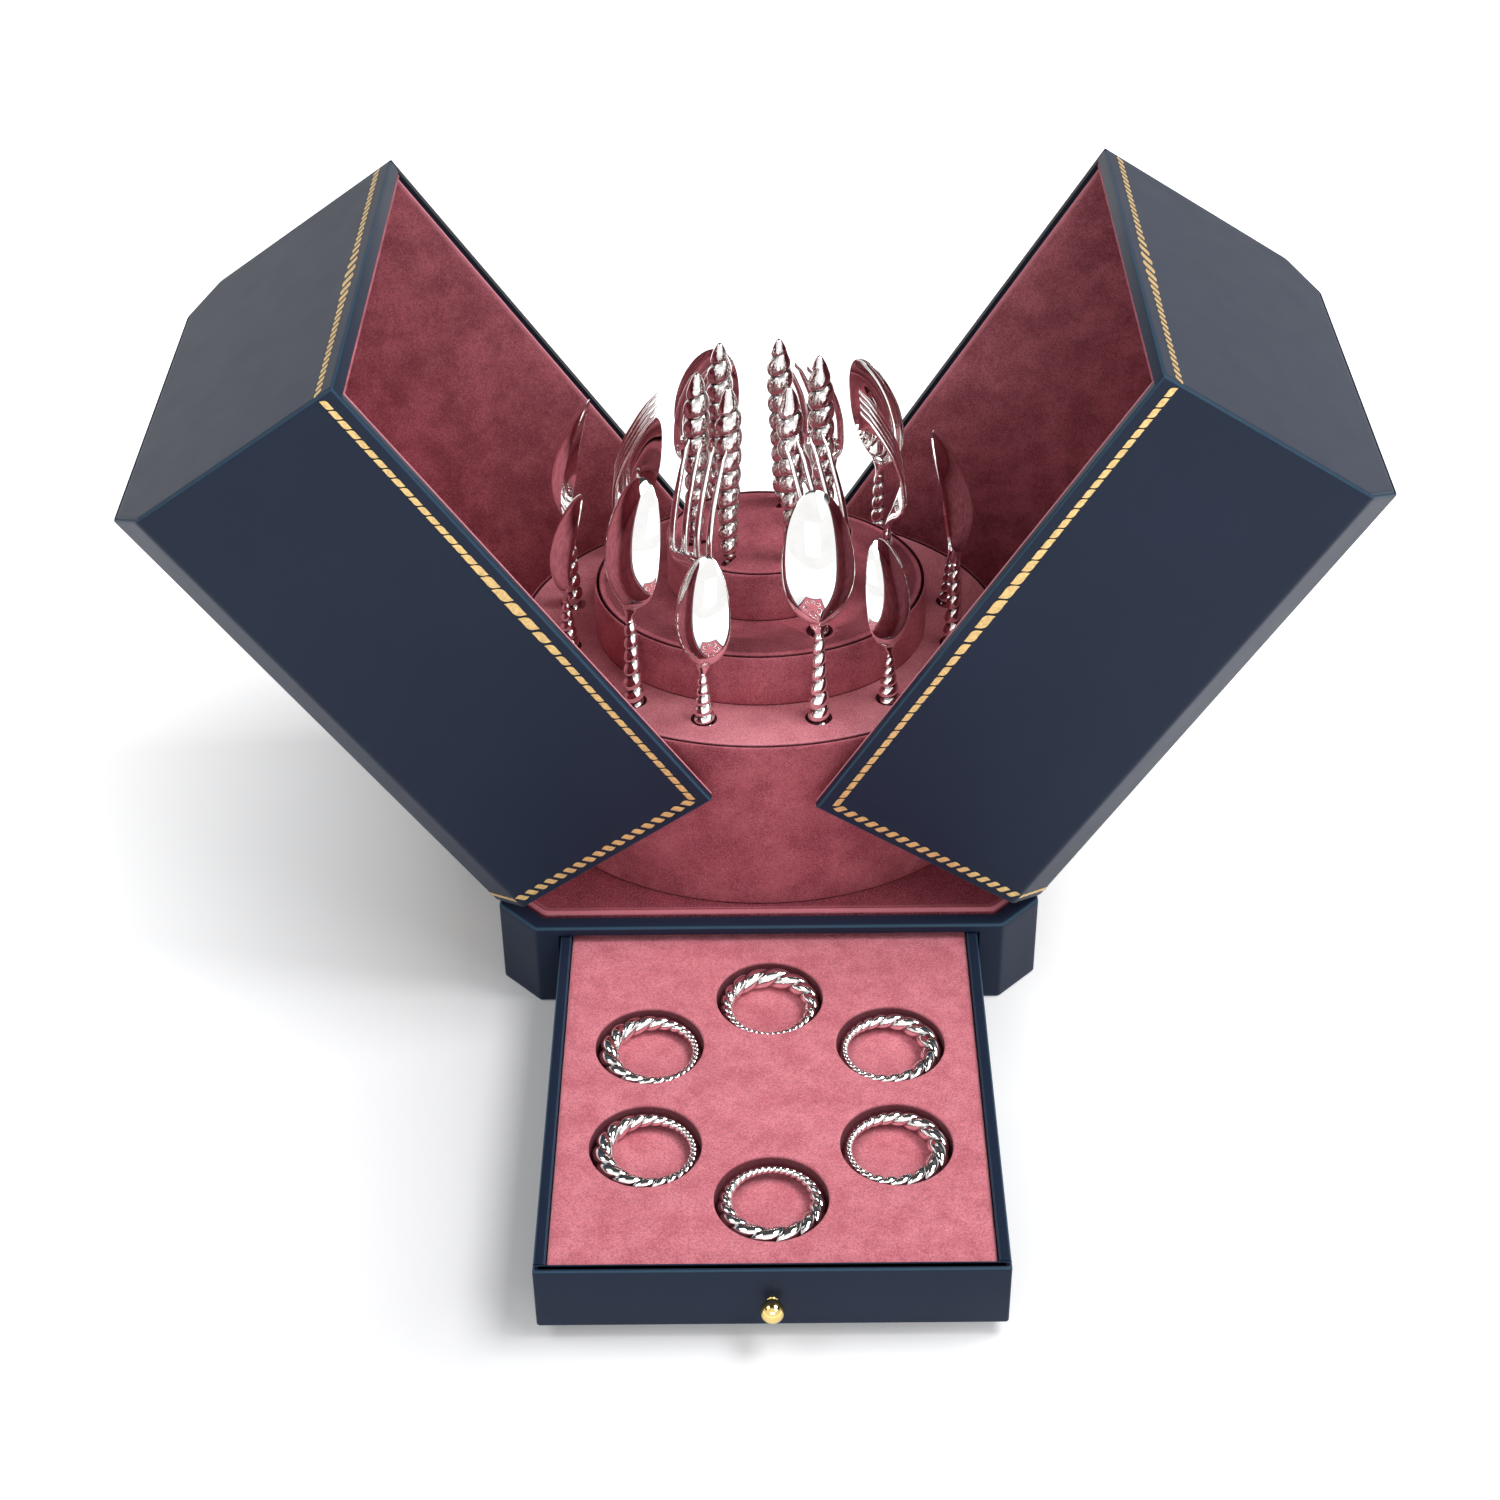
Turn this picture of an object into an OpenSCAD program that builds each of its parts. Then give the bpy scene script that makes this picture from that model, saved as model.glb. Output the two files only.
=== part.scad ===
// Silverware chest: an eight-sided leather-covered case whose two covers tip outwards,
// a stepped velvet stand for spoons, forks and knives, and a drawer of napkin rings.
// Millimetres. +Z up, the drawer faces -Y, the origin is the middle of the underside.
// It is drawn with both covers open and the drawer pulled out.

/* [Plinth] */
// Half width of the plinth
base_half_w = 126; // [120:1:132]
// Half depth of the plinth
base_half_d = 111; // [108:1:116]
// Leg of the cut corners of the plinth
base_corner = 18; // [14:1:22]
// Height of the plinth
base_h = 45; // [45:1:50]
// Thickness of the plinth walls at the front and sides
base_wall = 8; // [7.5:0.5:9]
// Thickness of the plinth wall at the back
back_wall = 4.5; // [4:0.5:6]
// Height of the floor of the drawer space
floor_top = 6.6; // [5:0.1:7]
// Height of the top of the drawer space
bay_top = 40.3; // [40:0.1:41]
// Height of the deck pad above the ground
deck_top = 46.8; // [45:0.1:47]

/* [Covers] */
// Half width of the closed covers
cover_half_w = 125; // [119:1:131]
// Half depth of the covers
cover_half_d = 109; // [106:1:114]
// Leg of the cut corners of the covers
cover_corner = 17.6; // [14:0.2:22]
// Height of the top of the closed covers
cover_top = 302; // [300:1:320]
// Gap under the closed covers, and the gap between them
cover_gap = 0.6; // [0.4:0.1:1]
// Thickness of the cover walls
cover_wall = 5; // [4:0.5:6]
// Thickness of the top panel
panel_t = 6; // [4:0.5:8]
// Width of the rebate that holds the top panel
panel_rebate = 4; // [3:0.2:4]
// Thickness of the velvet lining
lining_t = 1.2; // [0.8:0.1:1.5]
// Opening angle of the left cover, as drawn
left_open = 35; // [0:1:35]
// Opening angle of the right cover, as drawn
right_open = 32.4; // [0:0.1:35]

/* [Hinges] */
// Distance of the hinge axis from the middle of the case
hinge_x = 126.6; // [126.4:0.1:127]
// Height of the hinge axis
hinge_z = 42.5; // [42:0.1:43]
// Distance of each hinge from the middle, front and back
hinge_y = 60; // [45:1:75]
// Radius of the knuckles
knuckle_r = 2.4; // [2.2:0.1:2.5]
// Radius of the hinge pin
pin_r = 1; // [0.8:0.1:1.2]
// Running clearance between pin and knuckle
pin_play = 0.04; // [0.02:0.01:0.08]
// Length of one knuckle
knuckle_l = 12; // [10:1:14]
// Thickness of the hinge leaves
leaf_t = 1.2; // [1:0.1:1.4]

/* [Drawer] */
// Half width of the drawer
drawer_half_w = 96.4; // [90:0.2:97]
// Height of the underside of the drawer
drawer_z = 6.9; // [6.8:0.1:7.2]
// Height of the drawer's rim
drawer_top = 39.5; // [38:0.5:39.7]
// Length of the drawer
drawer_l = 217; // [200:1:217]
// How far the drawer is pulled out, as drawn
drawer_out = 204; // [0:1:204]
// Thickness of the drawer's sides
drawer_side_t = 5; // [4:0.5:6]
// Thickness of the drawer's front
drawer_front_t = 4.5; // [4:0.5:6]
// Height of the velvet insert
insert_top = 36.6; // [35:0.2:38]
// Radius of the ring recesses
recess_r = 24; // [23.5:0.1:25]
// Depth of the ring recesses
recess_depth = 9.4; // [8:0.2:12]
// Radius of the circle that the ring recesses lie on
recess_circle = 61.5; // [58:0.5:64]
// Radius of the ball knob
knob_r = 5; // [4:0.1:6]

/* [Velvet stand] */
// Sideways place of the stand's middle
stand_x = -2.5; // [-3:0.5:3]
// Front to back place of the stand's middle
stand_y = 2.2; // [-3:0.1:3]
// Half width, half depth and top height of the low step
step1 = [114, 98.2, 137.4];
// Half width, half depth and top height of the middle step
step2 = [76.8, 66, 163.6];
// Half width, half depth and top height of the high step
step3 = [42.2, 36.3, 188.5];
// Thickness of the padded top of each step
step_pad = 5.5; // [4:0.5:7]
// Thickness of the rim of each block round its padded top
step_rim = 1.2; // [0.8:0.1:1.4]

/* [Silverware] */
// Angles of the tablespoons' holes, counted from the front
spoon_turns = [16.3, 77, 141, 196.3, 257, 321];
// Angles of the teaspoons' holes, counted from the front
teaspoon_turns = [39, 102.5, 163.7, 219, 282.5, 343.7];
// Angles of the fork holes from the front, on one side
fork_angles = [27, 90, 153];
// Angles of the knife slots, counted from the front
knife_turns = [29, 106, 160, 217, 290, 333];
// Radius of the spoon and fork holes
hole_r = 5.8; // [5.6:0.1:6.2]
// Depth of the spoon holes
spoon_hole = 81; // [80:1:84]
// Depth of the fork holes
fork_hole = 101; // [100:1:104]
// Inward lean of the knives
knife_lean = 2; // [0:0.5:2.5]
// Height of a knife above the high step
knife_h = 88; // [84:1:92]
// Length of a knife's blade
blade_l = 104; // [90:1:106]
// Width of a knife's blade
blade_w = 9.5; // [8:0.5:9.5]
// Thickness of a knife's blade
blade_t = 2; // [1.4:0.1:2.2]

/* [Napkin rings] */
// Mean radius of a napkin ring
ring_r = 19.3; // [18:0.1:20]
// Tube radius of a ring at its thickest and thinnest
ring_tube = [4.1, 2.2];

/* [Hidden] */
SPOONS = [for (i = [1 : 6]) str("spoon_", i)];
TEASPOONS = [for (i = [1 : 6]) str("teaspoon_", i)];
FORKS = [for (i = [1 : 6]) str("fork_", i)];
KNIVES = [for (i = [1 : 6]) str("knife_", i)];
RINGS = [for (i = [1 : 6]) str("napkin_ring_", i)];

$fn = 32;
eps = 0.01;
// Play between the drawer and what guides it
drawer_play = 0.6;
cover_z = base_h + cover_gap;
deck_board_top = bay_top + 2.9;
// How much shorter a corner's leg gets for each millimetre that its outline is drawn in
corner_ratio = 2 - sqrt(2);
drawer_front_y = -base_half_d - drawer_out;
drawer_back_y = drawer_front_y + drawer_l;
// Height of the grooves in the guides and of the pegs that run in them
groove_z = [15, 24];
groove_depth = 4.2;
peg_play = 0.4;
hinge_l = 3 * knuckle_l + 0.6;
pin_head_h = 0.8;
leaf_gap = 0.3;
mortise_x = hinge_x - knuckle_r - 0.3;
mortise_z = hinge_z - knuckle_r - 0.4;
screw_y = 13;
screw_r = 0.8;
screw_head_r = 2;
screw_head_h = 0.7;
screw_l = 4.6;
ring_z = insert_top - recess_depth + ring_tube[0] + 0.05;
// Middle of the ring layout, a little in front of the drawer's own middle
recess_y = -7 - drawer_out;
knob_z = 22;
knob_shank_r = 1.6;
knob_collar_r = 2.4;
// Shares of a step's half sizes at which the pieces stand
spoon_share = 0.81;
fork_share = 0.77;
knife_share = 0.75;
velvet = "#a04a5c";
leather = "#2d384b";
silver = "#c9c6c2";
brass = "#c9a24a";

// ---------- outlines and placing ----------

// Eight-sided outline between two corners, each corner cut by c
function octagon(x0, x1, y0, y1, c) = [
    [x0 + c, y0], [x1 - c, y0], [x1, y0 + c], [x1, y1 - c],
    [x1 - c, y1], [x0 + c, y1], [x0, y1 - c], [x0, y0 + c]];

// Left half of the covers' outline, drawn in by t on every side but the seam
function half_cover(t) = let(
    w = cover_half_w - t,
    d = cover_half_d - t,
    c = cover_corner - t * corner_ratio,
    seam = -cover_gap / 2)
    [[seam, -d], [-w + c, -d], [-w, -d + c], [-w, d - c], [-w + c, d], [seam, d]];

// The same outline run past the seam, for cutting it open there
function half_cover_cut(t) = [for (p = half_cover(t)) [p[0] > -1 ? 1 : p[0], p[1]]];

function oval(rx, ry) = [for (i = [0 : 95]) [rx * cos(i * 3.75), ry * sin(i * 3.75)]];

// Place on an oval ring of the stand, at an angle counted from the front
function on_step(step, share, a) = [
    stand_x + share * step[0] * sin(a),
    stand_y - share * step[1] * cos(a)];

// Way that a piece on the stand faces, outwards from the middle
function facing(p) = atan2(p[0] - stand_x, stand_y - p[1]);

function spoon_place(a) = on_step(step1, spoon_share, a);
function fork_place(a) = on_step(step2, fork_share, a);
function knife_place(a) = on_step(step3, knife_share, a);

fork_turns = concat(fork_angles, [for (a = fork_angles) a + 180]);

// Puts children on the ground point p at height z, facing outwards
module stand_at(p, z) {
    translate([p[0], p[1], z]) rotate([0, 0, facing(p)]) children();
}

// Turns a closed left cover to its open place
module left_opened() {
    translate([-hinge_x, 0, hinge_z]) rotate([0, -left_open, 0])
        translate([hinge_x, 0, -hinge_z]) children();
}

// Turns a closed left cover's mirror image to the open place of the right cover
module right_opened() {
    mirror([1, 0, 0]) translate([-hinge_x, 0, hinge_z]) rotate([0, -right_open, 0])
        translate([hinge_x, 0, -hinge_z]) children();
}

// Repeats what is drawn for the left hinge line on both sides
module both_sides() {
    children();
    mirror([1, 0, 0]) children();
}

// ---------- plinth ----------

module plinth_case() {
    front_hole_w = drawer_half_w + drawer_play + 0.2;
    color(leather) difference() {
        linear_extrude(base_h)
            polygon(octagon(-base_half_w, base_half_w, -base_half_d, base_half_d, base_corner));
        translate([0, 0, -eps]) linear_extrude(base_h + 2 * eps) polygon(bay_outline());
        translate([-front_hole_w, -base_half_d - 1, floor_top])
            cube([2 * front_hole_w, base_wall + 2, bay_top - floor_top]);
        both_sides() for (s = [-1, 1]) hinge_mortise(s * hinge_y);
        both_sides() for (s = [-1, 1], t = [-1, 1])
            base_screw_at(s * hinge_y + t * screw_y) screw_hole();
    }
}

// Outline of the space inside the plinth walls
function bay_outline() = octagon(
    -base_half_w + base_wall, base_half_w - base_wall,
    -base_half_d + base_wall, base_half_d - back_wall,
    base_corner - base_wall * corner_ratio);

module plinth_floor() {
    color("tan") linear_extrude(floor_top) polygon(bay_outline());
}

module deck_board() {
    color("tan") translate([0, 0, bay_top]) linear_extrude(deck_board_top - bay_top)
        polygon(bay_outline());
}

// The pad ends just inside the closed covers
module deck_pad() {
    pad_gap = 1;
    t = cover_wall + lining_t + pad_gap;
    w = cover_half_w - t;
    d = cover_half_d - t;
    color(velvet) translate([0, 0, deck_board_top]) linear_extrude(deck_top - deck_board_top)
        polygon(octagon(-w, w, -d, d, cover_corner - t * corner_ratio));
}

// Filling blocks at both sides of the drawer space, each with a groove for the drawer's pegs
module drawer_guides() {
    guide_x = drawer_half_w + drawer_play;
    color("tan") both_sides() difference() {
        translate([0, 0, floor_top]) linear_extrude(bay_top - floor_top) intersection() {
            polygon(bay_outline());
            translate([-base_half_w, -base_half_d])
                square([base_half_w - guide_x, 2 * base_half_d]);
        }
        translate([-guide_x - groove_depth, -base_half_d, groove_z[0]])
            cube([groove_depth + 1, 2 * base_half_d, groove_z[1] - groove_z[0]]);
    }
}

// ---------- velvet stand ----------

// A solid oval from z0 to z1, larger than the step's padded top by t
module step_solid(step, z0, z1, t) {
    translate([stand_x, stand_y, z0]) linear_extrude(z1 - z0)
        polygon(oval(step[0] + t, step[1] + t));
}

// The body of a step, with a recess for its padded top
module step_block(step, z0) {
    difference() {
        step_solid(step, z0, step[2], step_rim);
        step_solid(step, step[2] - step_pad, step[2] + 1, 0);
    }
}

module step_top(step) {
    step_solid(step, step[2] - step_pad, step[2], 0);
}

module spoon_holes() {
    for (a = concat(spoon_turns, teaspoon_turns))
        stand_at(spoon_place(a), step1[2] - spoon_hole) cylinder(r = hole_r, h = spoon_hole + 1);
}

module fork_holes() {
    for (a = fork_turns)
        stand_at(fork_place(a), step2[2] - fork_hole) cylinder(r = hole_r, h = fork_hole + 1);
}

module knife_slots() {
    slot_w = blade_w + 0.8;
    slot_t = blade_t + 0.8;
    for (a = knife_turns) stand_at(knife_place(a), step3[2]) rotate([-knife_lean, 0, 0])
        translate([-slot_t / 2, -slot_w / 2, -blade_l - 1.5]) cube([slot_t, slot_w, blade_l + 4]);
}

module step1_block() {
    color(velvet) difference() {
        step_block(step1, deck_top);
        spoon_holes();
        fork_holes();
        knife_slots();
    }
}

module step1_pad() {
    color(velvet) difference() {
        step_top(step1);
        spoon_holes();
        fork_holes();
        knife_slots();
    }
}

module step2_block() {
    color(velvet) difference() {
        step_block(step2, step1[2]);
        fork_holes();
        knife_slots();
    }
}

module step2_pad() {
    color(velvet) difference() {
        step_top(step2);
        fork_holes();
        knife_slots();
    }
}

module step3_block() {
    color(velvet) difference() {
        step_block(step3, step2[2]);
        knife_slots();
    }
}

module step3_pad() {
    color(velvet) difference() {
        step_top(step3);
        knife_slots();
    }
}

// ---------- hinges ----------

// Slot in the plinth's outer top edge that a hinge's knuckles lie in
module hinge_mortise(y) {
    end_play = pin_head_h + 0.4;
    translate([-base_half_w - 1, y - hinge_l / 2 - end_play, mortise_z])
        cube([base_half_w + 1 - mortise_x, hinge_l + 2 * end_play, base_h - mortise_z + 1]);
}

// A knuckle on the left hinge axis, from y0 to y1
module knuckle(y0, y1) {
    translate([-hinge_x, y0, hinge_z]) rotate([-90, 0, 0]) cylinder(r = knuckle_r, h = y1 - y0);
}

module knuckle_bore(y) {
    translate([-hinge_x, y - hinge_l, hinge_z]) rotate([-90, 0, 0])
        cylinder(r = pin_r + pin_play, h = 2 * hinge_l);
}

// A screw's shank and hole lie along X from the leaf's face inwards
module screw() {
    rotate([0, 90, 0]) cylinder(r = screw_r, h = screw_l);
    translate([-screw_head_h, 0, 0]) rotate([0, 90, 0])
        cylinder(r1 = screw_head_r * 0.7, r2 = screw_head_r, h = screw_head_h);
}

module screw_hole() {
    translate([-2, 0, 0]) rotate([0, 90, 0]) cylinder(r = screw_r + 0.05, h = screw_l + 2.2);
}

module base_screw_at(y) {
    translate([-base_half_w - leaf_t, y, mortise_z - 7]) children();
}

module cover_screw_at(y) {
    translate([-cover_half_w - leaf_t, y, cover_z + 10]) children();
}

module base_hinge_leaves() {
    color(brass) both_sides() for (s = [-1, 1]) {
        y = s * hinge_y;
        difference() {
            union() {
                translate([-base_half_w - leaf_t, y - hinge_l / 2, mortise_z - 14])
                    cube([leaf_t, hinge_l, 13.6]);
                for (e = [0, 1]) {
                    y0 = y + (e == 0 ? -hinge_l / 2 : knuckle_l / 2 + leaf_gap);
                    knuckle(y0, y0 + knuckle_l);
                    translate([-base_half_w - leaf_t, y0, mortise_z - 1])
                        cube([leaf_t, knuckle_l, hinge_z - mortise_z + 1]);
                }
            }
            knuckle_bore(y);
            for (t = [-1, 1]) base_screw_at(y + t * screw_y) screw_hole();
        }
    }
}

module hinge_pins() {
    color(brass) both_sides() for (s = [-1, 1])
        translate([-hinge_x, s * hinge_y - hinge_l / 2 - pin_head_h, hinge_z]) rotate([-90, 0, 0]) {
            cylinder(r = pin_r, h = hinge_l + pin_head_h);
            cylinder(r = pin_r + 0.5, h = pin_head_h);
        }
}

module base_hinge_screws() {
    color(brass) both_sides() for (s = [-1, 1], t = [-1, 1])
        base_screw_at(s * hinge_y + t * screw_y) screw();
}

module cover_hinge_leaves() {
    color(brass) for (s = [-1, 1]) {
        y = s * hinge_y;
        difference() {
            union() {
                translate([-cover_half_w - leaf_t, y - hinge_l / 2, cover_z + 0.8])
                    cube([leaf_t, hinge_l, 16]);
                knuckle(y - knuckle_l / 2, y + knuckle_l / 2);
                translate([-cover_half_w - leaf_t, y - knuckle_l / 2, hinge_z])
                    cube([leaf_t, knuckle_l, cover_z - hinge_z + 2]);
            }
            knuckle_bore(y);
            for (t = [-1, 1]) cover_screw_at(y + t * screw_y) screw_hole();
        }
    }
}

module cover_hinge_screws() {
    color(brass) for (s = [-1, 1], t = [-1, 1])
        cover_screw_at(s * hinge_y + t * screw_y) screw();
}

// ---------- covers, drawn closed on the left ----------

module cover_case() {
    panel_z = cover_top - panel_t;
    color(leather) difference() {
        translate([0, 0, cover_z]) linear_extrude(cover_top - cover_z) polygon(half_cover(0));
        translate([0, 0, cover_z - 1]) linear_extrude(cover_top - cover_z + 2)
            polygon(half_cover_cut(cover_wall));
        translate([0, 0, panel_z]) linear_extrude(panel_t + 1)
            polygon(half_cover_cut(cover_wall - panel_rebate));
        for (s = [-1, 1], t = [-1, 1]) cover_screw_at(s * hinge_y + t * screw_y) screw_hole();
    }
}

module cover_panel() {
    groove = 0.3;
    color(leather) translate([0, 0, cover_top - panel_t]) linear_extrude(panel_t)
        polygon(half_cover(cover_wall - panel_rebate + groove));
}

module cover_lining() {
    color(velvet) difference() {
        translate([0, 0, cover_z]) linear_extrude(cover_top - panel_t - cover_z)
            polygon(half_cover(cover_wall));
        translate([0, 0, cover_z - 1]) linear_extrude(cover_top - panel_t - lining_t - cover_z + 1)
            polygon(half_cover_cut(cover_wall + lining_t));
    }
}

module left_cover_case() { left_opened() cover_case(); }
module left_cover_panel() { left_opened() cover_panel(); }
module left_cover_lining() { left_opened() cover_lining(); }
module left_hinge_leaves() { left_opened() cover_hinge_leaves(); }
module left_hinge_screws() { left_opened() cover_hinge_screws(); }
module right_cover_case() { right_opened() cover_case(); }
module right_cover_panel() { right_opened() cover_panel(); }
module right_cover_lining() { right_opened() cover_lining(); }
module right_hinge_leaves() { right_opened() cover_hinge_leaves(); }
module right_hinge_screws() { right_opened() cover_hinge_screws(); }

// ---------- drawer ----------

module drawer_front() {
    color(leather) difference() {
        translate([-drawer_half_w, drawer_front_y, drawer_z])
            cube([2 * drawer_half_w, drawer_front_t, drawer_top - drawer_z]);
        translate([0, drawer_front_y - 1, knob_z]) rotate([-90, 0, 0])
            cylinder(r = knob_shank_r, h = drawer_front_t + 2);
    }
}

// Two sides and the back, with a peg on each side that stops the drawer from coming out
module drawer_frame() {
    y0 = drawer_front_y + drawer_front_t;
    // The pegs meet the back of the plinth's front wall when the drawer is right out
    peg_l = 4.5;
    color(leather) {
        difference() {
            translate([-drawer_half_w, y0, drawer_z])
                cube([2 * drawer_half_w, drawer_back_y - y0, drawer_top - drawer_z]);
            translate([-drawer_half_w + drawer_side_t, y0 - 1, drawer_z - 1])
                cube([2 * (drawer_half_w - drawer_side_t), drawer_back_y - y0 + 1 - drawer_side_t,
                    drawer_top - drawer_z + 2]);
        }
        both_sides() translate([-drawer_half_w - drawer_play - groove_depth + peg_play,
            drawer_back_y - peg_l, groove_z[0] + peg_play])
            cube([groove_depth + drawer_play - peg_play + 1, peg_l,
                groove_z[1] - groove_z[0] - 2 * peg_play]);
    }
}

module drawer_space(z0, z1) {
    y0 = drawer_front_y + drawer_front_t;
    translate([-drawer_half_w + drawer_side_t, y0, z0])
        cube([2 * (drawer_half_w - drawer_side_t), drawer_back_y - drawer_side_t - y0, z1 - z0]);
}

module drawer_bottom() {
    color(leather) drawer_space(drawer_z, drawer_z + 3);
}

// Middle of ring recess number i of six
function recess_place(i) = [recess_circle * sin(60 * i), recess_y - recess_circle * cos(60 * i)];

module drawer_insert() {
    color(velvet) difference() {
        drawer_space(drawer_z + 3, insert_top);
        for (i = [0 : 5]) translate([recess_place(i)[0], recess_place(i)[1], insert_top - recess_depth])
            cylinder(r = recess_r, h = recess_depth + 1);
    }
}

module drawer_knob() {
    color(brass) translate([0, drawer_front_y, knob_z]) {
        translate([0, -knob_r - 1, 0]) sphere(r = knob_r);
        rotate([90, 0, 0]) cylinder(r = knob_collar_r, h = 2.4);
        rotate([-90, 0, 0]) cylinder(r = knob_shank_r, h = drawer_front_t);
    }
}

// ---------- silverware ----------

// Faces that join a stack of rings, each of m points, into one closed skin of triangles
function ring_faces(n, m) = concat(
    [for (i = [0 : n - 2], j = [0 : m - 1]) let(k = (j + 1) % m)
        [i * m + j, (i + 1) * m + k, i * m + k]],
    [for (i = [0 : n - 2], j = [0 : m - 1]) let(k = (j + 1) % m)
        [i * m + j, (i + 1) * m + j, (i + 1) * m + k]],
    cap_faces(m),
    [for (f = cap_faces(m)) [for (i = [2, 1, 0]) (n - 1) * m + f[i]]]);

// Faces of the first ring's cap, as a strip across from one side of the ring to the other
function cap_faces(m) = let(last = m / 2 - 1) concat(
    [[0, 1, m - 1]],
    [for (k = [1 : 1 : last - 1]) [k, k + 1, m - k - 1]],
    [for (k = [1 : 1 : last - 1]) [k, m - k - 1, m - k]],
    [[last, last + 1, m - last]]);

module loft(rings) {
    n = len(rings);
    m = len(rings[0]);
    polyhedron(points = [for (r = rings, p = r) p], faces = ring_faces(n, m));
}

// Share of the full width at s, from 0 at the neck to 1 at the tip: an egg, widest near the neck
function egg(s) = let(widest = 0.4, u = s < widest ? (widest - s) / widest : (s - widest) / (1 - widest))
    sqrt(max(0, 1 - u * u));

// One cross-section of a spoon's bowl: an outer arc and, back again, an inner arc
function bowl_ring(s, z0, l, w, depth, lean, t) = let(
    half = max(0.9, w / 2 * egg(s)),
    dip = depth * pow(egg(s), 1.3),
    rim_y = lean * s - 2.5 * sin(180 * s),
    z = z0 + l * s)
    concat(
        [for (i = [0 : 6]) let(u = -1 + i / 3) [half * u, rim_y - dip * (1 - u * u), z]],
        [for (i = [5 : -1 : 1]) let(u = -1 + i / 3) [half * u, rim_y + (t - dip) * (1 - u * u), z]]);

// A spoon standing in its hole: size is [bowl start, bowl length, width, depth, lean]
module spoon(size, neck_r, end_r) {
    z0 = size[0];
    stations = [0.02, 0.08, 0.18, 0.3, 0.42, 0.56, 0.7, 0.83, 0.93, 0.99];
    color(silver) {
        rotate_extrude() polygon([[0, -79.5], [1.2, -79.5], [end_r * 0.8, -70], [end_r, -62],
            [end_r * 0.86, 0], [neck_r, z0 - 6], [1.6, z0 + 1.5], [0, z0 + 1.5]]);
        loft([for (s = stations) bowl_ring(s, z0 - 1, size[1] + 1, size[2], size[3], size[4], 1.8)]);
    }
}

// A rectangular ring for the fork's neck and tines: centre x and y, height z, width and thickness
function bar(x, y, z, w, t) = [
    [x - w / 2, y - t / 2, z], [x + w / 2, y - t / 2, z],
    [x + w / 2, y + t / 2, z], [x - w / 2, y + t / 2, z]];

module fork() {
    tine_pitch = 6.4;
    color(silver) {
        rotate_extrude() polygon([[0, -99.5], [1.2, -99.5], [4, -90], [5, -80],
            [4.2, 0], [2.1, 24], [1.8, 30], [0, 30]]);
        loft([bar(0, 0, 26, 3, 2.6), bar(0, -1.8, 32, 7, 2.6), bar(0, -4.6, 37, 18.4, 2.6),
            bar(0, -6.4, 42, 22.4, 2.4), bar(0, -6.9, 46, 22.4, 2.2)]);
        for (i = [0 : 3]) let(x = (i - 1.5) * tine_pitch)
            loft([bar(x, -6.8, 44, 3.2, 2.2), bar(x, -6.4, 54, 3.1, 2.2), bar(x, -3, 66, 2.8, 2.2),
                bar(x, 3.2, 78, 2.4, 2.3), bar(x, 9.1, 87.5, 1.8, 2), bar(x, 13.6, 93.5, 1.1, 1.4)]);
    }
}

// The handle stands up, and the blade hangs in its slot
module knife() {
    color(silver) rotate([-knife_lean, 0, 0]) {
        rotate_extrude() polygon([[0, 0.3], [1.6, 0.3], [4.4, 6], [4.9, 24], [6.1, knife_h - 21],
            [5.6, knife_h - 14], [3.3, knife_h - 7], [1.8, knife_h - 2.5], [0, knife_h]]);
        translate([blade_t / 2, 0, 1]) rotate([0, -90, 0]) linear_extrude(blade_t)
            polygon([[2, -1.4], [-6, -blade_w / 2], [-blade_l + 12, -blade_w / 2],
                [-blade_l + 3, -blade_w / 4], [-blade_l, blade_w / 4], [-blade_l + 2, blade_w / 2],
                [-6, blade_w / 2], [2, 1.4]]);
    }
}

// A napkin ring, thickest on the side that faces away from the drawer's middle
module napkin_ring() {
    turns = 24;
    sides = 8;
    mid = (ring_tube[0] + ring_tube[1]) / 2;
    swing = (ring_tube[0] - ring_tube[1]) / 2;
    points = [for (i = [0 : turns - 1], j = [0 : sides - 1]) let(
        a = 360 * i / turns,
        b = 360 * j / sides,
        r = mid - swing * sin(a),
        out = ring_r + r * cos(b))
        [out * cos(a), out * sin(a), r * sin(b)]];
    faces = [for (i = [0 : turns - 1], j = [0 : sides - 1], h = [0, 1]) let(
        i2 = (i + 1) % turns,
        j2 = (j + 1) % sides)
        h == 0 ? [i * sides + j, i * sides + j2, i2 * sides + j2]
            : [i * sides + j, i2 * sides + j2, i2 * sides + j]];
    color(silver) polyhedron(points = points, faces = faces);
}

module spoon_number(i) {
    p = spoon_place(spoon_turns[i]);
    stand_at(p, step1[2]) spoon([52, 60, 32.6, 8.5, 13], 2.3, 5.1);
}

module teaspoon_number(i) {
    p = spoon_place(teaspoon_turns[i]);
    stand_at(p, step1[2]) spoon([30, 51, 26, 7, 10], 1.7, 4.6);
}

module fork_number(i) {
    p = fork_place(fork_turns[i]);
    stand_at(p, step2[2]) fork();
}

module knife_number(i) {
    p = knife_place(knife_turns[i]);
    stand_at(p, step3[2]) knife();
}

module ring_number(i) {
    p = recess_place(i);
    translate([p[0], p[1], ring_z]) rotate([0, 0, 60 * i]) napkin_ring();
}

// ---------- drawing ----------

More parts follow.
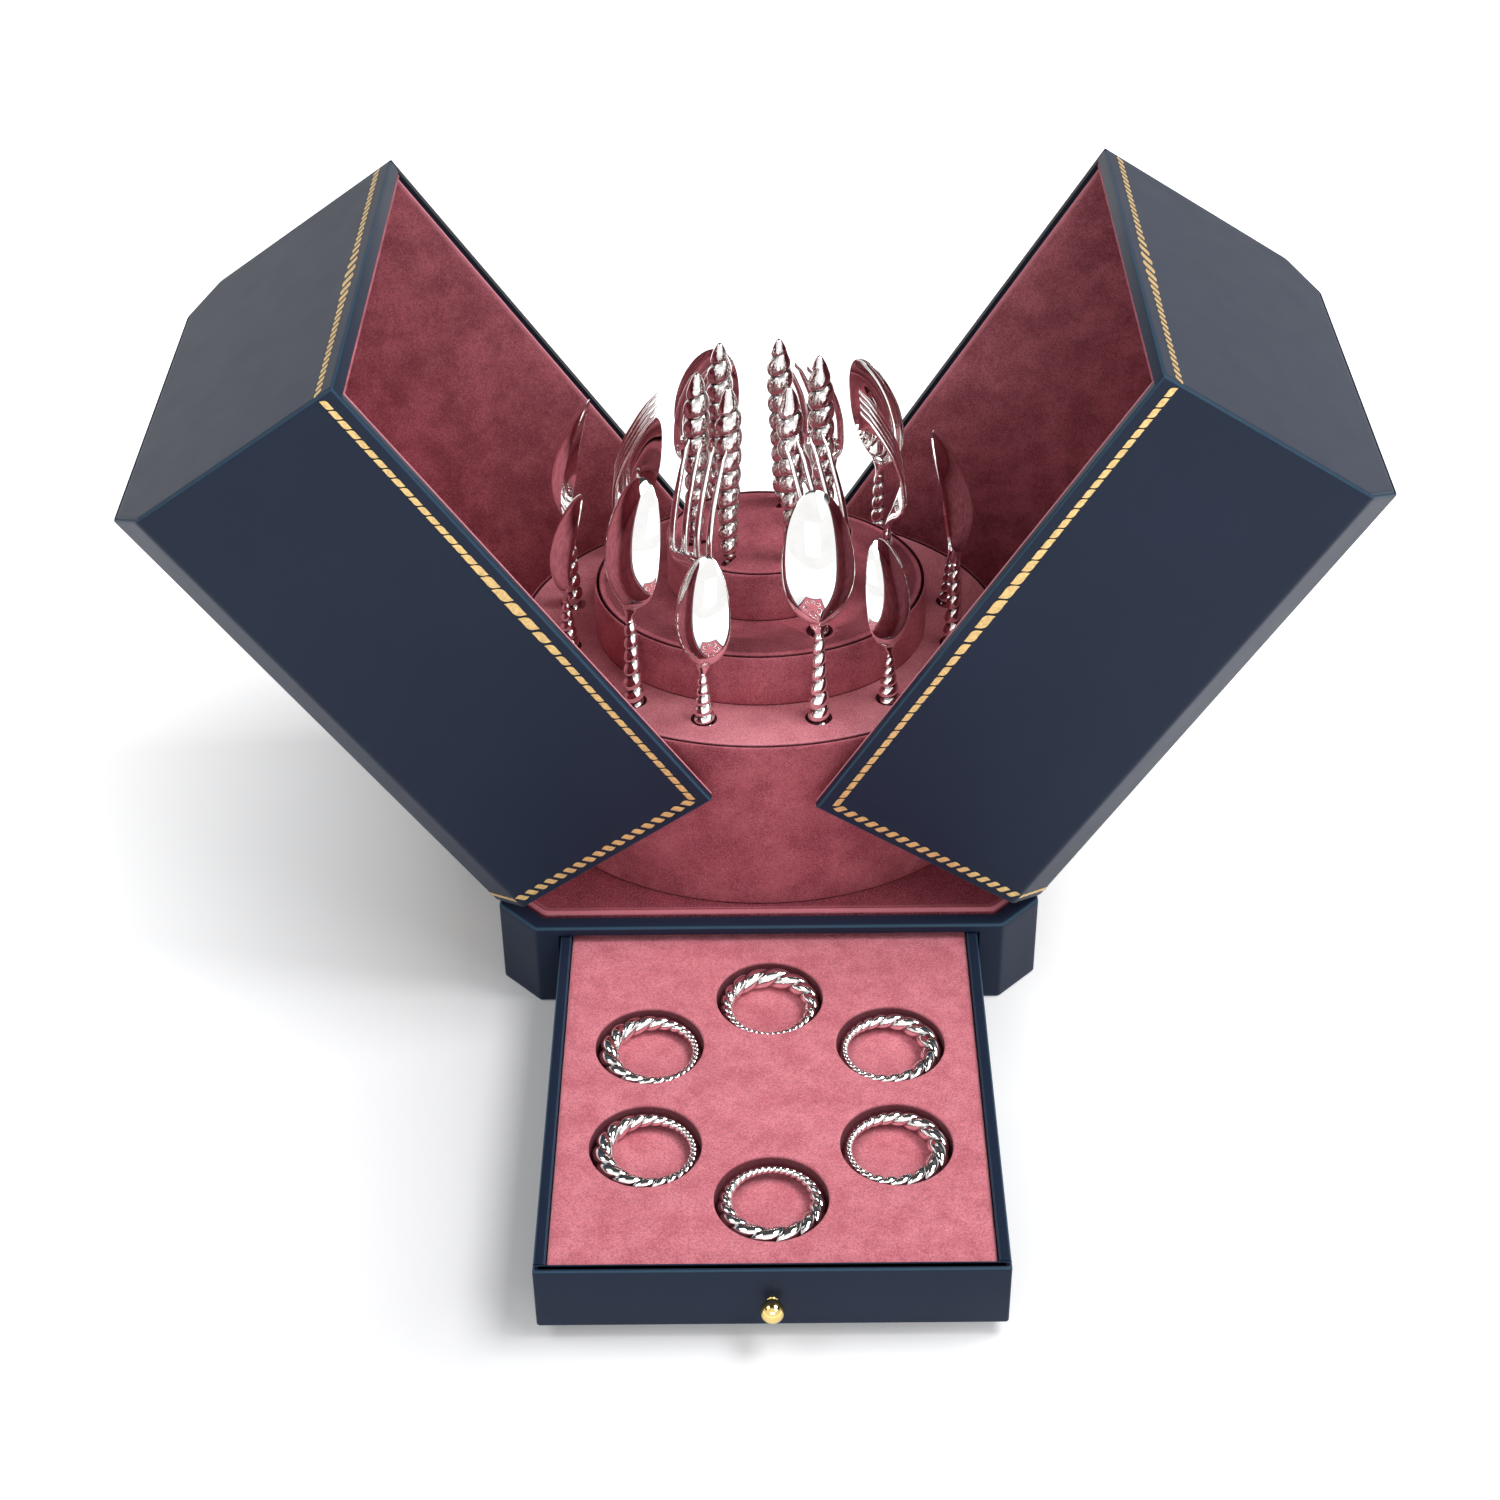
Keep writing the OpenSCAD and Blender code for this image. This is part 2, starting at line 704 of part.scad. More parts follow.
plinth_case();
plinth_floor();
deck_board();
deck_pad();
drawer_guides();
step1_block();
step1_pad();
step2_block();
step2_pad();
step3_block();
step3_pad();
base_hinge_leaves();
hinge_pins();
base_hinge_screws();
left_cover_case();
left_cover_panel();
left_cover_lining();
left_hinge_leaves();
left_hinge_screws();
right_cover_case();
right_cover_panel();
right_cover_lining();
right_hinge_leaves();
right_hinge_screws();
drawer_front();
drawer_frame();
drawer_bottom();
drawer_insert();
drawer_knob();
for (i = [0 : 5]) spoon_number(i);
for (i = [0 : 5]) teaspoon_number(i);
for (i = [0 : 5]) fork_number(i);
for (i = [0 : 5]) knife_number(i);
for (i = [0 : 5]) ring_number(i);
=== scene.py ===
"""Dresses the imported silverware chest: leather, velvet, foil, silver and brass round the CAD frame."""
from math import acos, atan, atan2, copysign, cos, exp, pi, radians, sin, sqrt, tan

import bmesh
import bpy
from mathutils import Matrix, Vector


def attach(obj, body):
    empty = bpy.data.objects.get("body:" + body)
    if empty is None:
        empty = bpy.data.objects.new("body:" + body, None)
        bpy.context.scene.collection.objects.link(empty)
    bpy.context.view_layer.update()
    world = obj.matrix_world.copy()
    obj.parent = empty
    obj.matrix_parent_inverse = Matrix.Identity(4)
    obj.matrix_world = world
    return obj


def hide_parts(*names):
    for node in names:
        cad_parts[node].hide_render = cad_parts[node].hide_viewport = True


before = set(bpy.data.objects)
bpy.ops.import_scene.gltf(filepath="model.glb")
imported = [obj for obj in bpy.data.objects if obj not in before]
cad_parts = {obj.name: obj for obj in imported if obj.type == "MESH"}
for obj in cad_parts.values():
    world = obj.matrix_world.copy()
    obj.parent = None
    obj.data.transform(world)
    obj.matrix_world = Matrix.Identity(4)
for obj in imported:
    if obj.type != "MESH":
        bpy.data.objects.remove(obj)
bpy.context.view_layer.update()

MM = 0.001
TAU = 2 * pi

# ---------- sizes in millimetres, as in the part's source ----------
HINGE = (126.6, 42.5)
LEFT_OPEN, RIGHT_OPEN = 35.0, 32.4
BASE_W, BASE_D, BASE_CORNER, BASE_H = 126.0, 111.0, 18.0, 45.0
BASE_WALL, BACK_WALL = 8.0, 4.5
FLOOR_TOP, BAY_TOP = 6.6, 40.3
DECK_BOARD_TOP, DECK_TOP = 43.2, 46.8
COVER_W, COVER_D, COVER_CORNER = 125.0, 109.0, 17.6
COVER_Z, COVER_TOP = 45.6, 302.0
WALL, PANEL_T, LIP, GROOVE, LINING = 5.0, 6.0, 1.0, 0.3, 1.2
SEAM = -0.3
PAD_GAP = 1.0
DRAWER_OUT = 204.0
DRAWER_W, DRAWER_Z, DRAWER_TOP, DRAWER_L = 96.4, 6.9, 39.5, 217.0
DRAWER_SIDE, DRAWER_FRONT = 5.0, 4.5
INSERT_TOP, RECESS_R, RECESS_DEPTH, RECESS_CIRCLE = 36.6, 24.0, 9.4, 61.5
RECESS_Y = -7 - DRAWER_OUT
FRONT_Y = -BASE_D - DRAWER_OUT
BACK_Y = FRONT_Y + DRAWER_L
KNOB_R, KNOB_Z = 5.0, 22.0
STAND = (-2.5, 2.2)
STEPS = ((114.0, 98.2, 137.4), (76.8, 66.0, 163.6), (42.2, 36.3, 188.5))
STEP_PAD, STEP_RIM, SEAM_LIP, SEAM_GAP = 5.5, 1.2, 0.9, 1.1
SPOON_TURNS = (16.3, 77, 141, 196.3, 257, 321)
TEASPOON_TURNS = (39, 102.5, 163.7, 219, 282.5, 343.7)
FORK_TURNS = (27, 90, 153, 207, 270, 333)
KNIFE_TURNS = (29, 106, 160, 217, 290, 333)
SPOON_SHARE, FORK_SHARE, KNIFE_SHARE = 0.81, 0.77, 0.75
HOLE_R = 5.8
SPOON_HOLE, FORK_HOLE = 81.0, 101.0
TURNED = {"spoon_1": -9}
STRAIGHTER = ("fork_6",)
KNIFE_H, KNIFE_LEAN, BLADE = 88.0, 2.0, (104.0, 9.5, 2.0)
TINE_PITCH = 6.4
RING_THICK = 4.1
RING_TUBE = (4.6, 1.6, 19.2, 1.2)
RING_TURNS = (0, 84, 96, 172, 264, 286)
RING_Z = INSERT_TOP - RECESS_DEPTH + RING_THICK + 0.05
HINGE_Y, LEAF_T, SCREW_Y = 60.0, 1.2, 13.0
SCREW_HEAD_R, SCREW_HEAD_H = 2.0, 0.7
MORTISE_X, MORTISE_Z, MORTISE_HALF = HINGE[0] - 2.7, HINGE[1] - 2.8, 18.3 + 1.2
# How much shorter a corner's leg gets for each millimetre that its outline is drawn in
CORNER_RATIO = 2 - sqrt(2)
# Edges longer than this get a point just past each rounding, so that the face beyond it shades flat
LONG_EDGE = 12.0
# How far the painted edge highlight and wear reach from the seam, and how far the lining stops short of the
# seam at the back
WEAR_AND_HIGHLIGHT_END, BACK_INSET = 2.5, 2.0
# The border's distances from the seam, the foot and the seam on top, and its strands' pitch and tilt
ROPE_SEAM, ROPE_FOOT, ROPE_TOP, ROPE_PITCH, ROPE_TILT = 6.7, 5.3, 8.2, 5.6, radians(25)
# How much of a border is left out on each side of a hinge's middle
ROPE_GAP = 19.5
# A strand's length and width as shares of its pitch, how far its dark bed (painted shadow of the stamped
# groove) stands out, and their heights
STRAND_L, STRAND_W, BED_GROW, BED_H, FOIL_H = 1.22, 0.54, 0.5, 0.04, 0.09

# ---------- room, in metres ----------
# The floor's painted glow is dimmed round this upright box, painting a shadow: its middle, half size, turn
# and the shadow's reach
SHADOW_MIDDLE, SHADOW_HALF, SHADOW_TURN, SHADOW_REACH = (-0.07, -0.083, 0), (0.08, 0.19, 0), -0.1, 0.28
FLOOR_HALF = 40.0
# Brightness of the world overhead, as the gloss shows it
CEILING = 0.06


def add_object(name, data):
    piece = bpy.data.objects.new(name, data)
    bpy.context.scene.collection.objects.link(piece)
    return piece


def clamp(x):
    return min(1.0, max(0.0, x))


def circle(n):
    """Cosines and sines of n even turns."""
    return [(cos(TAU * j / n), sin(TAU * j / n)) for j in range(n)]


def quarter(n):
    """Angles of a quarter turn in n steps."""
    return [pi / 2 * k / n for k in range(n + 1)]


# ---------- camera ----------
def make_camera():
    """The photograph's camera, solved from the chest's straight edges."""
    place = (0.0001, -1.0299, 0.8371)
    yaw, pitch, roll = -0.0083, 0.6440, -0.0145
    level = cos(pitch)
    forward = Vector((sin(yaw) * level, cos(yaw) * level, -sin(pitch)))
    right = Vector((cos(yaw), -sin(yaw), 0))
    up = right.cross(forward)
    r = cos(roll) * right + sin(roll) * up
    u = -sin(roll) * right + cos(roll) * up
    data = bpy.data.cameras.new("camera")
    data.sensor_width = 36.0
    data.sensor_fit = "HORIZONTAL"
    data.lens = 62.93
    data.clip_start, data.clip_end = 0.01, 50
    camera = add_object("camera", data)
    turn = Matrix((r, u, -forward)).transposed().to_4x4()
    camera.matrix_world = Matrix.Translation(place) @ turn
    bpy.context.scene.camera = camera


# ---------- shaders ----------
def linear(colour):
    """A colour written as sRGB 0-255, made linear."""
    out = []
    for c in colour:
        c /= 255
        out.append(c / 12.92 if c <= 0.04045 else ((c + 0.055) / 1.055) ** 2.4)
    return (*out, 1.0)


class Nodes:
    """A node tree, built a node at a time."""

    def __init__(self, tree, output):
        self.tree = tree
        tree.nodes.clear()
        self.out = self.node(output)

    def node(self, kind, inputs=None, **settings):
        n = self.tree.nodes.new(kind)
        for key, value in settings.items():
            setattr(n, key, value)
        for key, value in (inputs or {}).items():
            if isinstance(value, bpy.types.NodeSocket):
                self.tree.links.new(value, n.inputs[key])
            else:
                n.inputs[key].default_value = value
        return n

    def ramp(self, value, low, high, out_low=0.0, out_high=1.0, **settings):
        inputs = {"Value": value, "From Min": low, "From Max": high, "To Min": out_low, "To Max": out_high}
        return self.node("ShaderNodeMapRange", inputs, **settings).outputs["Result"]

    def math(self, operation, a, b):
        return self.node("ShaderNodeMath", {0: a, 1: b}, operation=operation).outputs[0]

    def seen(self):
        """1 for what the camera sees, straight or in a gloss, and 0 for the light on the object."""
        path = self.node("ShaderNodeLightPath").outputs
        return self.math("MAXIMUM", path["Is Camera Ray"], path["Is Glossy Ray"])

    def surface(self, shader):
        self.tree.links.new(shader.outputs[0], self.out.inputs["Surface"])


class Shader(Nodes):
    """A material whose nodes read the object's own coordinates."""

    def __init__(self, name):
        self.material = bpy.data.materials.new(name)
        self.material.use_nodes = True
        super().__init__(self.material.node_tree, "ShaderNodeOutputMaterial")
        self.place = self.node("ShaderNodeTexCoord").outputs["Object"]

    def noise(self, scale, detail=2.0, roughness=0.5, place=None):
        inputs = {"Vector": place or self.place, "Scale": scale, "Detail": detail, "Roughness": roughness}
        return self.node("ShaderNodeTexNoise", inputs).outputs["Fac"]

    def cells(self, scale):
        inputs = {"Vector": self.place, "Scale": scale}
        return self.node("ShaderNodeTexVoronoi", inputs, feature="SMOOTH_F1").outputs["Distance"]

    def mix(self, share, a, b):
        return self.node("ShaderNodeMix", {0: share, 6: a, 7: b}, data_type="RGBA").outputs[2]

    def bump(self, height, distance, strength):
        inputs = {"Height": height, "Distance": distance, "Strength": strength}
        return self.node("ShaderNodeBump", inputs).outputs["Normal"]

    def wear_and_painted_light(self):
        return self.node("ShaderNodeAttribute", attribute_name="wear_and_painted_light").outputs["Fac"]

    def finish(self, **inputs):
        names = {k.replace("_", " "): v for k, v in inputs.items()}
        self.surface(self.node("ShaderNodeBsdfPrincipled", names))
        return self.material


# Painted shade: the colours mixed in deep in a seam, crease, hole or recess
LEATHER_PAINTED_SHADE, VELVET_PAINTED_SHADE, SILVER_PAINTED_SHADE = (10, 12, 17), (58, 17, 28), (40, 24, 27)


def shaded(colour, factor):
    return linear([c * factor for c in colour])


def leather(name, colour, edge):
    """Smooth calf leather over board: fine grain, soft mottling, lighter edges painted as a highlight on the
    rounded arrises with some burnished wear, and painted shade on the seam faces at the back.
    """
    s = Shader(name)
    mottle = s.noise(22, 4, 0.6)
    base = s.mix(s.ramp(mottle, 0.3, 0.7), shaded(colour, 0.97), shaded(colour, 1.03))
    fine = s.noise(900, 3, 0.6)
    base = s.mix(s.ramp(fine, 0.35, 0.65, 0.0, 0.12), base, shaded(colour, 0.75))
    # Painted highlight on the rounded arrises, partly burnished wear: the edge colour where the per-point
    # value is above 0.3.
    edge_wear_and_highlight = s.ramp(s.wear_and_painted_light(), 0.3, 1.0, 0.0, 0.55)
    base = s.mix(edge_wear_and_highlight, base, linear(edge))
    # Painted shade: near-black on the leather's seam faces at the back.
    base = s.mix(s.ramp(s.wear_and_painted_light(), -1.0, -0.1, 0.85, 0.0), base, linear(LEATHER_PAINTED_SHADE))
    grain = s.cells(1900)
    height = s.math("ADD", s.math("MULTIPLY", grain, 0.6), s.math("MULTIPLY", s.noise(420, 4, 0.65), 0.8))
    rough = s.ramp(s.noise(60, 3), 0.3, 0.7, 0.41, 0.44)
    return s.finish(
        Base_Color=base, Roughness=rough, Specular_IOR_Level=0.16,
        Normal=s.bump(height, 0.00005, 0.4))


def velvet(name, colour, light, dark, lean=1.0):
    """Short-pile velvet: brushed patches, a speckled pile, a soft sheen at glancing angles, a painted
    highlight on edges and shoulders, and painted shade in seams, holes and recesses.
    """
    s = Shader(name)
    brushed = s.noise(34 * lean, 6, 0.66)
    base = s.mix(s.ramp(brushed, 0.38, 0.62), linear(dark), linear(colour))
    pile = s.noise(1900, 3, 0.7)
    base = s.mix(s.ramp(pile, 0.44, 0.66, 0.0, 0.55), base, linear(light))
    deep = s.noise(1300, 3, 0.7)
    base = s.mix(s.ramp(deep, 0.46, 0.66, 0.0, 0.6), base, shaded(dark, 0.78))
    # Painted highlight: the light colour on edges, shoulders and the lining's seam edges, where the per-point
    # value is above 0.
    base = s.mix(s.ramp(s.wear_and_painted_light(), 0.1, 1.0, 0.0, 0.85), base, linear(light))
    # Painted shade: dark wine in seams, holes, slots, recesses and on step 2's top, where the per-point value
    # is below 0.
    base = s.mix(s.ramp(s.wear_and_painted_light(), -1.0, -0.1, 0.9, 0.0), base, linear(VELVET_PAINTED_SHADE))
    fibre = s.math("ADD", s.noise(1500, 3, 0.7), s.math("MULTIPLY", s.noise(260, 3, 0.6), 0.8))
    # The sheen is turned off where the shade is painted.
    return s.finish(
        Base_Color=base, Roughness=0.92, Specular_IOR_Level=0.15,
        Sheen_Weight=s.ramp(s.wear_and_painted_light(), -1.0, -0.1, 0.0, 0.45), Sheen_Roughness=0.4,
        Sheen_Tint=linear([min(255, c * 1.1) for c in light]),
        Normal=s.bump(fibre, 0.0004, 0.6))


def polished(name, colour, rough, ripple=0.0, fine=180):
    """Polished metal with the faintest wiping marks, and painted shade in its creases. ripple is the depth of
    an unevenness of the scale fine."""
    s = Shader(name)
    wiped = s.noise(140, 4, 0.6)
    base = s.mix(s.ramp(wiped, 0.35, 0.65), shaded(colour, 0.97), linear(colour))
    # Painted shade: dark wine-brown in the creases of the twisted handles and rings.
    base = s.mix(s.ramp(s.wear_and_painted_light(), -1.0, -0.3, 0.9, 0.0), base, linear(SILVER_PAINTED_SHADE))
    roughness = s.ramp(s.noise(260, 3, 0.6), 0.3, 0.7, rough * 0.6, rough * 1.5)
    inputs = {"Base_Color": base, "Metallic": 1.0, "Roughness": roughness}
    if ripple:
        inputs["Normal"] = s.bump(s.noise(fine, 2), ripple, 0.5)
    return s.finish(**inputs)


def foil(name, colour):
    """Gold foil stamped into leather: slightly patchy, with the grain showing through."""
    s = Shader(name)
    patch = s.noise(700, 3, 0.6)
    base = s.mix(s.ramp(patch, 0.35, 0.7), linear(colour), shaded(colour, 0.86))
    return s.finish(
        Base_Color=base, Metallic=0.6, Roughness=s.ramp(patch, 0.3, 0.7, 0.38, 0.5),
        Normal=s.bump(s.noise(1300, 3), 0.00004, 0.5))


def board(name, colour):
    """Plain sanded wood, with a straight grain along Y."""
    s = Shader(name)
    stretched = s.node("ShaderNodeMapping", {"Vector": s.place, "Scale": (1.0, 0.06, 1.0)}).outputs[0]
    grain = s.noise(420, 5, 0.65, stretched)
    base = s.mix(s.ramp(grain, 0.3, 0.7), shaded(colour, 0.8), linear(colour))
    return s.finish(Base_Color=base, Roughness=0.75, Normal=s.bump(grain, 0.00008, 0.6))


NAVY = (33, 44, 65)
# TEAL is the colour of the painted highlight on the leather's rounded edges.
TEAL = (62, 100, 122)
M = {
    "leather": leather("leather_navy", NAVY, TEAL),
    # Near-black leather for the bed round each foil strand: a painted shadow of the stamped groove.
    "groove_shadow_leather": leather("leather_painted_groove_shadow", (12, 14, 18), (16, 18, 22)),
    "velvet": velvet("velvet_stand", (202, 106, 119), (228, 146, 156), (162, 72, 86), 1.6),
    # A lighter copy of the stand's velvet for step 1's top: painted light from the front.
    "pad": velvet("velvet_pads_painted_light", (232, 144, 155), (244, 176, 184), (202, 110, 123)),
    # A darker copy of the velvet for the deck round the stand: painted shade.
    "deck": velvet("velvet_deck_painted_shade", (154, 64, 80), (226, 138, 150), (122, 44, 58), 1.8),
    "lining": velvet("velvet_lining", (210, 121, 135), (236, 156, 166), (162, 84, 97), 1.8),
    "insert": velvet("velvet_drawer", (238, 142, 154), (250, 172, 182), (212, 110, 124), 2.4),
    "silver": polished("silver_polished", (253, 252, 250), 0.025),
    # Knife silver: a fine hammered bump, with a darker colour that is painted shade.
    "knife_silver_shaded": polished("silver_hammered_painted_shade", (236, 230, 228), 0.04, 0.00025, 900),
    "foil": foil("gold_foil", (244, 208, 140)),
    "knob": polished("brass_polished", (246, 214, 138), 0.06),
    "brass": polished("brass_satin", (206, 172, 104), 0.24, 0.00003),
    "board": board("board_plain", (168, 140, 108)),
}


# ---------- mesh helpers ----------
def skin(rows, close_rows=False, close_cols=True, caps=(False, False)):
    """Points and faces of a grid of equally long rows of points."""
    n, m = len(rows), len(rows[0])
    faces = []
    for i in range(n if close_rows else n - 1):
        for j in range(m if close_cols else m - 1):
            k, up = (j + 1) % m, (i + 1) % n
            faces.append((i * m + j, i * m + k, up * m + k, up * m + j))
    if caps[0]:
        faces.append(tuple(range(m - 1, -1, -1)))
    if caps[1]:
        faces.append(tuple(range((n - 1) * m, n * m)))
    return [p for row in rows for p in row], faces


def closed(rows):
    """Points and faces of a stack of rings, capped at both ends."""
    return skin(rows, caps=(True, True))


def swept(rows):
    """Points and faces of a profile swept along an open path, with a face at each end of it."""
    points, faces = skin(rows, close_rows=True, close_cols=False)
    n, m = len(rows), len(rows[0])
    faces.append(tuple(i * m for i in range(n)))
    faces.append(tuple(i * m + m - 1 for i in range(n - 1, -1, -1)))
    return points, faces


def sweep(profile, path_at, wear_and_painted_light_at):
    """Rows and per-point values (painted highlight and shade, with wear on leather edges) of a profile of
    (depth, z, value), swept along the path at each depth.
    The function given last takes the depth and the values of the profile and of the path."""
    rows, wear_and_painted_light = [], []
    for t, z, v in profile:
        path = path_at(t)
        rows.append([(x, y, z) for x, y, _ in path])
        wear_and_painted_light += [wear_and_painted_light_at(t, v, s) for _, _, s in path]
    return rows, wear_and_painted_light


def make(name, parts, material, body, nodes=(), place=None, sharp=38):
    """A piece from parts, each (points, faces) or (points, faces, value per point), in millimetres. The value
    paints highlights above 0 and shade below 0, and stands partly for wear on leather edges.
    """
    points, faces, wear_and_painted_light = [], [], []
    for part in parts:
        start = len(points)
        points += [tuple(p[:3]) for p in part[0]]
        faces += [tuple(start + i for i in f) for f in part[1]]
        wear_and_painted_light += list(part[2]) if len(part) > 2 else [p[3] if len(p) > 3 else 0.0 for p in part[0]]
    if place:
        points = [place(p) for p in points]
    mesh = bpy.data.meshes.new(name)
    mesh.from_pydata([(x * MM, y * MM, z * MM) for x, y, z in points], [], faces)
    if any(wear_and_painted_light):
        mesh.attributes.new("wear_and_painted_light", "FLOAT", "POINT").data.foreach_set("value", wear_and_painted_light)
    piece = add_object(name, mesh)
    mesh.materials.append(material)
    tidy(mesh, sharp)
    if body:
        settle(piece, body, nodes)
    return piece


def tidy(mesh, sharp=38):
    """Joins doubled points, turns faces outwards, smooths, and keeps edges over that angle sharp."""
    bm = bmesh.new()
    bm.from_mesh(mesh)
    bmesh.ops.remove_doubles(bm, verts=bm.verts, dist=2e-6)
    bmesh.ops.dissolve_degenerate(bm, edges=bm.edges, dist=1e-6)
    bmesh.ops.recalc_face_normals(bm, faces=bm.faces)
    limit = radians(sharp)
    for face in bm.faces:
        face.smooth = True
    for edge in bm.edges:
        edge.smooth = not edge.is_manifold or edge.calc_face_angle() < limit
    bm.to_mesh(mesh)
    bm.free()


def settle(piece, body, nodes=()):
    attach(piece, body)
    if nodes:
        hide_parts(*nodes)


def carve(piece, parts, sharp=38):
    """Cuts the parts out of piece."""
    cutter = make("cutter", parts, piece.data.materials[0], None)
    cut = piece.modifiers.new("cut", "BOOLEAN")
    cut.operation = "DIFFERENCE"
    cut.solver = "EXACT"
    cut.object = cutter
    graph = bpy.context.evaluated_depsgraph_get()
    cut_piece = piece.evaluated_get(graph)
    mesh = bpy.data.meshes.new_from_object(cut_piece, preserve_all_data_layers=True, depsgraph=graph)
    piece.modifiers.clear()
    old, piece.data = piece.data, mesh
    bpy.data.meshes.remove(old)
    blade = cutter.data
    bpy.data.objects.remove(cutter)
    bpy.data.meshes.remove(blade)
    tidy(mesh, sharp)


def fillet(points, radii, n=4, closed=True, guard=0.0):
    """Rounds a polygon's corners. Returns (x, y, value), with the value 1 in the middle of each rounding,
    where it paints a highlight, partly wear on leather.
    guard adds a point that far beyond each rounding on long edges, so that the faces there shade flat."""
    out = []
    count = len(points)
    for i, (p, r) in enumerate(zip(points, radii)):
        if r <= 0 or (not closed and i in (0, count - 1)):
            out.append((p[0], p[1], 0.0))
            continue
        p = Vector(p)
        a = (Vector(points[i - 1]) - p).normalized()
        b = (Vector(points[(i + 1) % count]) - p).normalized()
        half = a.angle(b) / 2
        reach = r / tan(half)
        middle = p + (a + b).normalized() * (r / sin(half))
        start, end = p + a * reach - middle, p + b * reach - middle
        turn = start.angle_signed(end)
        before = (Vector(points[i - 1]) - p).length
        after = (Vector(points[(i + 1) % count]) - p).length
        if guard and before > LONG_EDGE:
            out.append((*(p + a * (reach + guard)), 0.0))
        for k in range(n + 1):
            t = k / n
            q = middle + Matrix.Rotation(-turn * t, 2) @ start
            out.append((q.x, q.y, sin(pi * t)))
        if guard and after > LONG_EDGE:
            out.append((*(p + b * (reach + guard)), 0.0))
    return out


def octagon(x0, x1, y0, y1, c):
    return [(x0 + c, y0), (x1 - c, y0), (x1, y0 + c), (x1, y1 - c),
            (x1 - c, y1), (x0 + c, y1), (x0, y1 - c), (x0, y0 + c)]


def drawn_in(w, d, corner, t):
    """An eight-sided outline of those half sizes, drawn in by t."""
    return octagon(-w + t, w - t, -d + t, d - t, corner - t * CORNER_RATIO)


def half_cover(t, seam=SEAM):
    """The left cover's outline, drawn in by t on every side but the seam."""
    w, d = COVER_W - t, COVER_D - t
    c = COVER_CORNER - t * CORNER_RATIO
    return [(seam, -d), (-w + c, -d), (-w, -d + c), (-w, d - c), (-w + c, d), (seam, d)]


def opener(degrees, side):
    """Opens points of the closed left cover by that angle, and mirrors them where side is -1."""
    c, n = cos(radians(degrees)), sin(radians(degrees))

    def place(p):
        i, h = p[0] + HINGE[0], p[2] - HINGE[1]
        return (side * (-HINGE[0] + i * c - h * n), p[1], HINGE[1] + i * n + h * c)
    return place


SIDES = {"left": opener(LEFT_OPEN, 1), "right": opener(RIGHT_OPEN, -1)}


# ---------- covers ----------
def cover_path(t, ends, n_corner=3, n_end=4):
    """The half outline at depth t in the wall, from the front seam round to the back seam.
    ends is the rounding at the seam of the wall's outer and inner faces, the wall's least and greatest
    depth, and 1 for a lining, whose edges get a painted highlight. Returns (x, y, value): a painted highlight
    on the rounded seam, partly wear on leather, and painted shade on the leather's seam faces at the back."""
    d = COVER_D - t
    corner_r = max(4.0 - t * 0.5, 1.2)
    path = fillet(half_cover(t), [0, *[corner_r] * 4, 0], n_corner, closed=False, guard=2.0)
    path = [(x, y, 0.0) for x, y, _ in path[1:-1]]
    outer, inner, low, high, painted_shine = ends
    t_end = min(max(t, low + outer), high - inner)
    r = abs(t_end - t)
    arc = []
    for a in quarter(n_end):
        x = SEAM - max(r, 0.02) * (1 - sin(a))
        # Painted highlight on the rounded seam edge, partly wear on leather.
        edge_wear_and_highlight = sin(2 * a) * (r > 0.3) * (1 if t < t_end else 0.3)
        arc.append((x, t + (t_end - t) * (1 - cos(a)), max(painted_shine, edge_wear_and_highlight)))
    front = [(x, -COVER_D + tt, v) for x, tt, v in reversed(arc)] + [(SEAM - WEAR_AND_HIGHLIGHT_END, -d, 0.0)]
    inset = BACK_INSET if painted_shine else 0.0
    # At the back the leather's seam faces get painted shade (-1); a lining's edges keep their painted
    # highlight.
    back = [(x - inset, COVER_D - tt, v if painted_shine else -1.0) for x, tt, v in arc]
    back = [(SEAM - inset - WEAR_AND_HIGHLIGHT_END, d, 0.0)] + back
    return front + path + back


def cover_wall(profile, ends):
    """A wall swept round the half outline, with closed ends at the seam."""
    rows, wear_and_painted_light = sweep(profile, lambda t: cover_path(t, ends), lambda t, v, s: s if s < 0 else max(v, s))
    return (*swept(rows), wear_and_painted_light)


def plate(outline, levels, n_corner=2, radius=1.0):
    """A flat plate from rows of (inset, z, edge value: painted highlight, partly wear on leather) of a convex
    outline given as a function of the inset.
    """
    corners = len(outline(0))
    rows, wear_and_painted_light = sweep(
        levels, lambda inset: fillet(outline(inset), [radius] * corners, n_corner),
        lambda inset, v, s: max(v, s * 0.5 if v > 0.01 else 0.0))
    return (*closed(rows), wear_and_painted_light)


def rounded_levels(z0, z1, r_low, r_high, n=4):
    """Rows of a plate's edge from z0 to z1, rounded at both, with a painted highlight peaking in the middle
    of each rounding, partly wear on leather.
    """
    low, high = [(0.0, z0, 0.0)], [(0.0, z1, 0.0)]
    if r_low:
        low = [(r_low * (1 - sin(a)), z0 + r_low * (1 - cos(a)), sin(2 * a))
               for a in quarter(n)]
    if r_high:
        high = [(r_high * (1 - cos(a)), z1 - r_high * (1 - sin(a)), sin(2 * a))
                for a in quarter(n)]
        high.append((r_high + 1.5, z1, 0.0))
    return low + high


def half_outline(margin):
    """The half cover's closed outline as a function of the inset, starting margin inside it."""
    def outline(inset):
        return half_cover(margin + inset, SEAM - inset)
    return outline


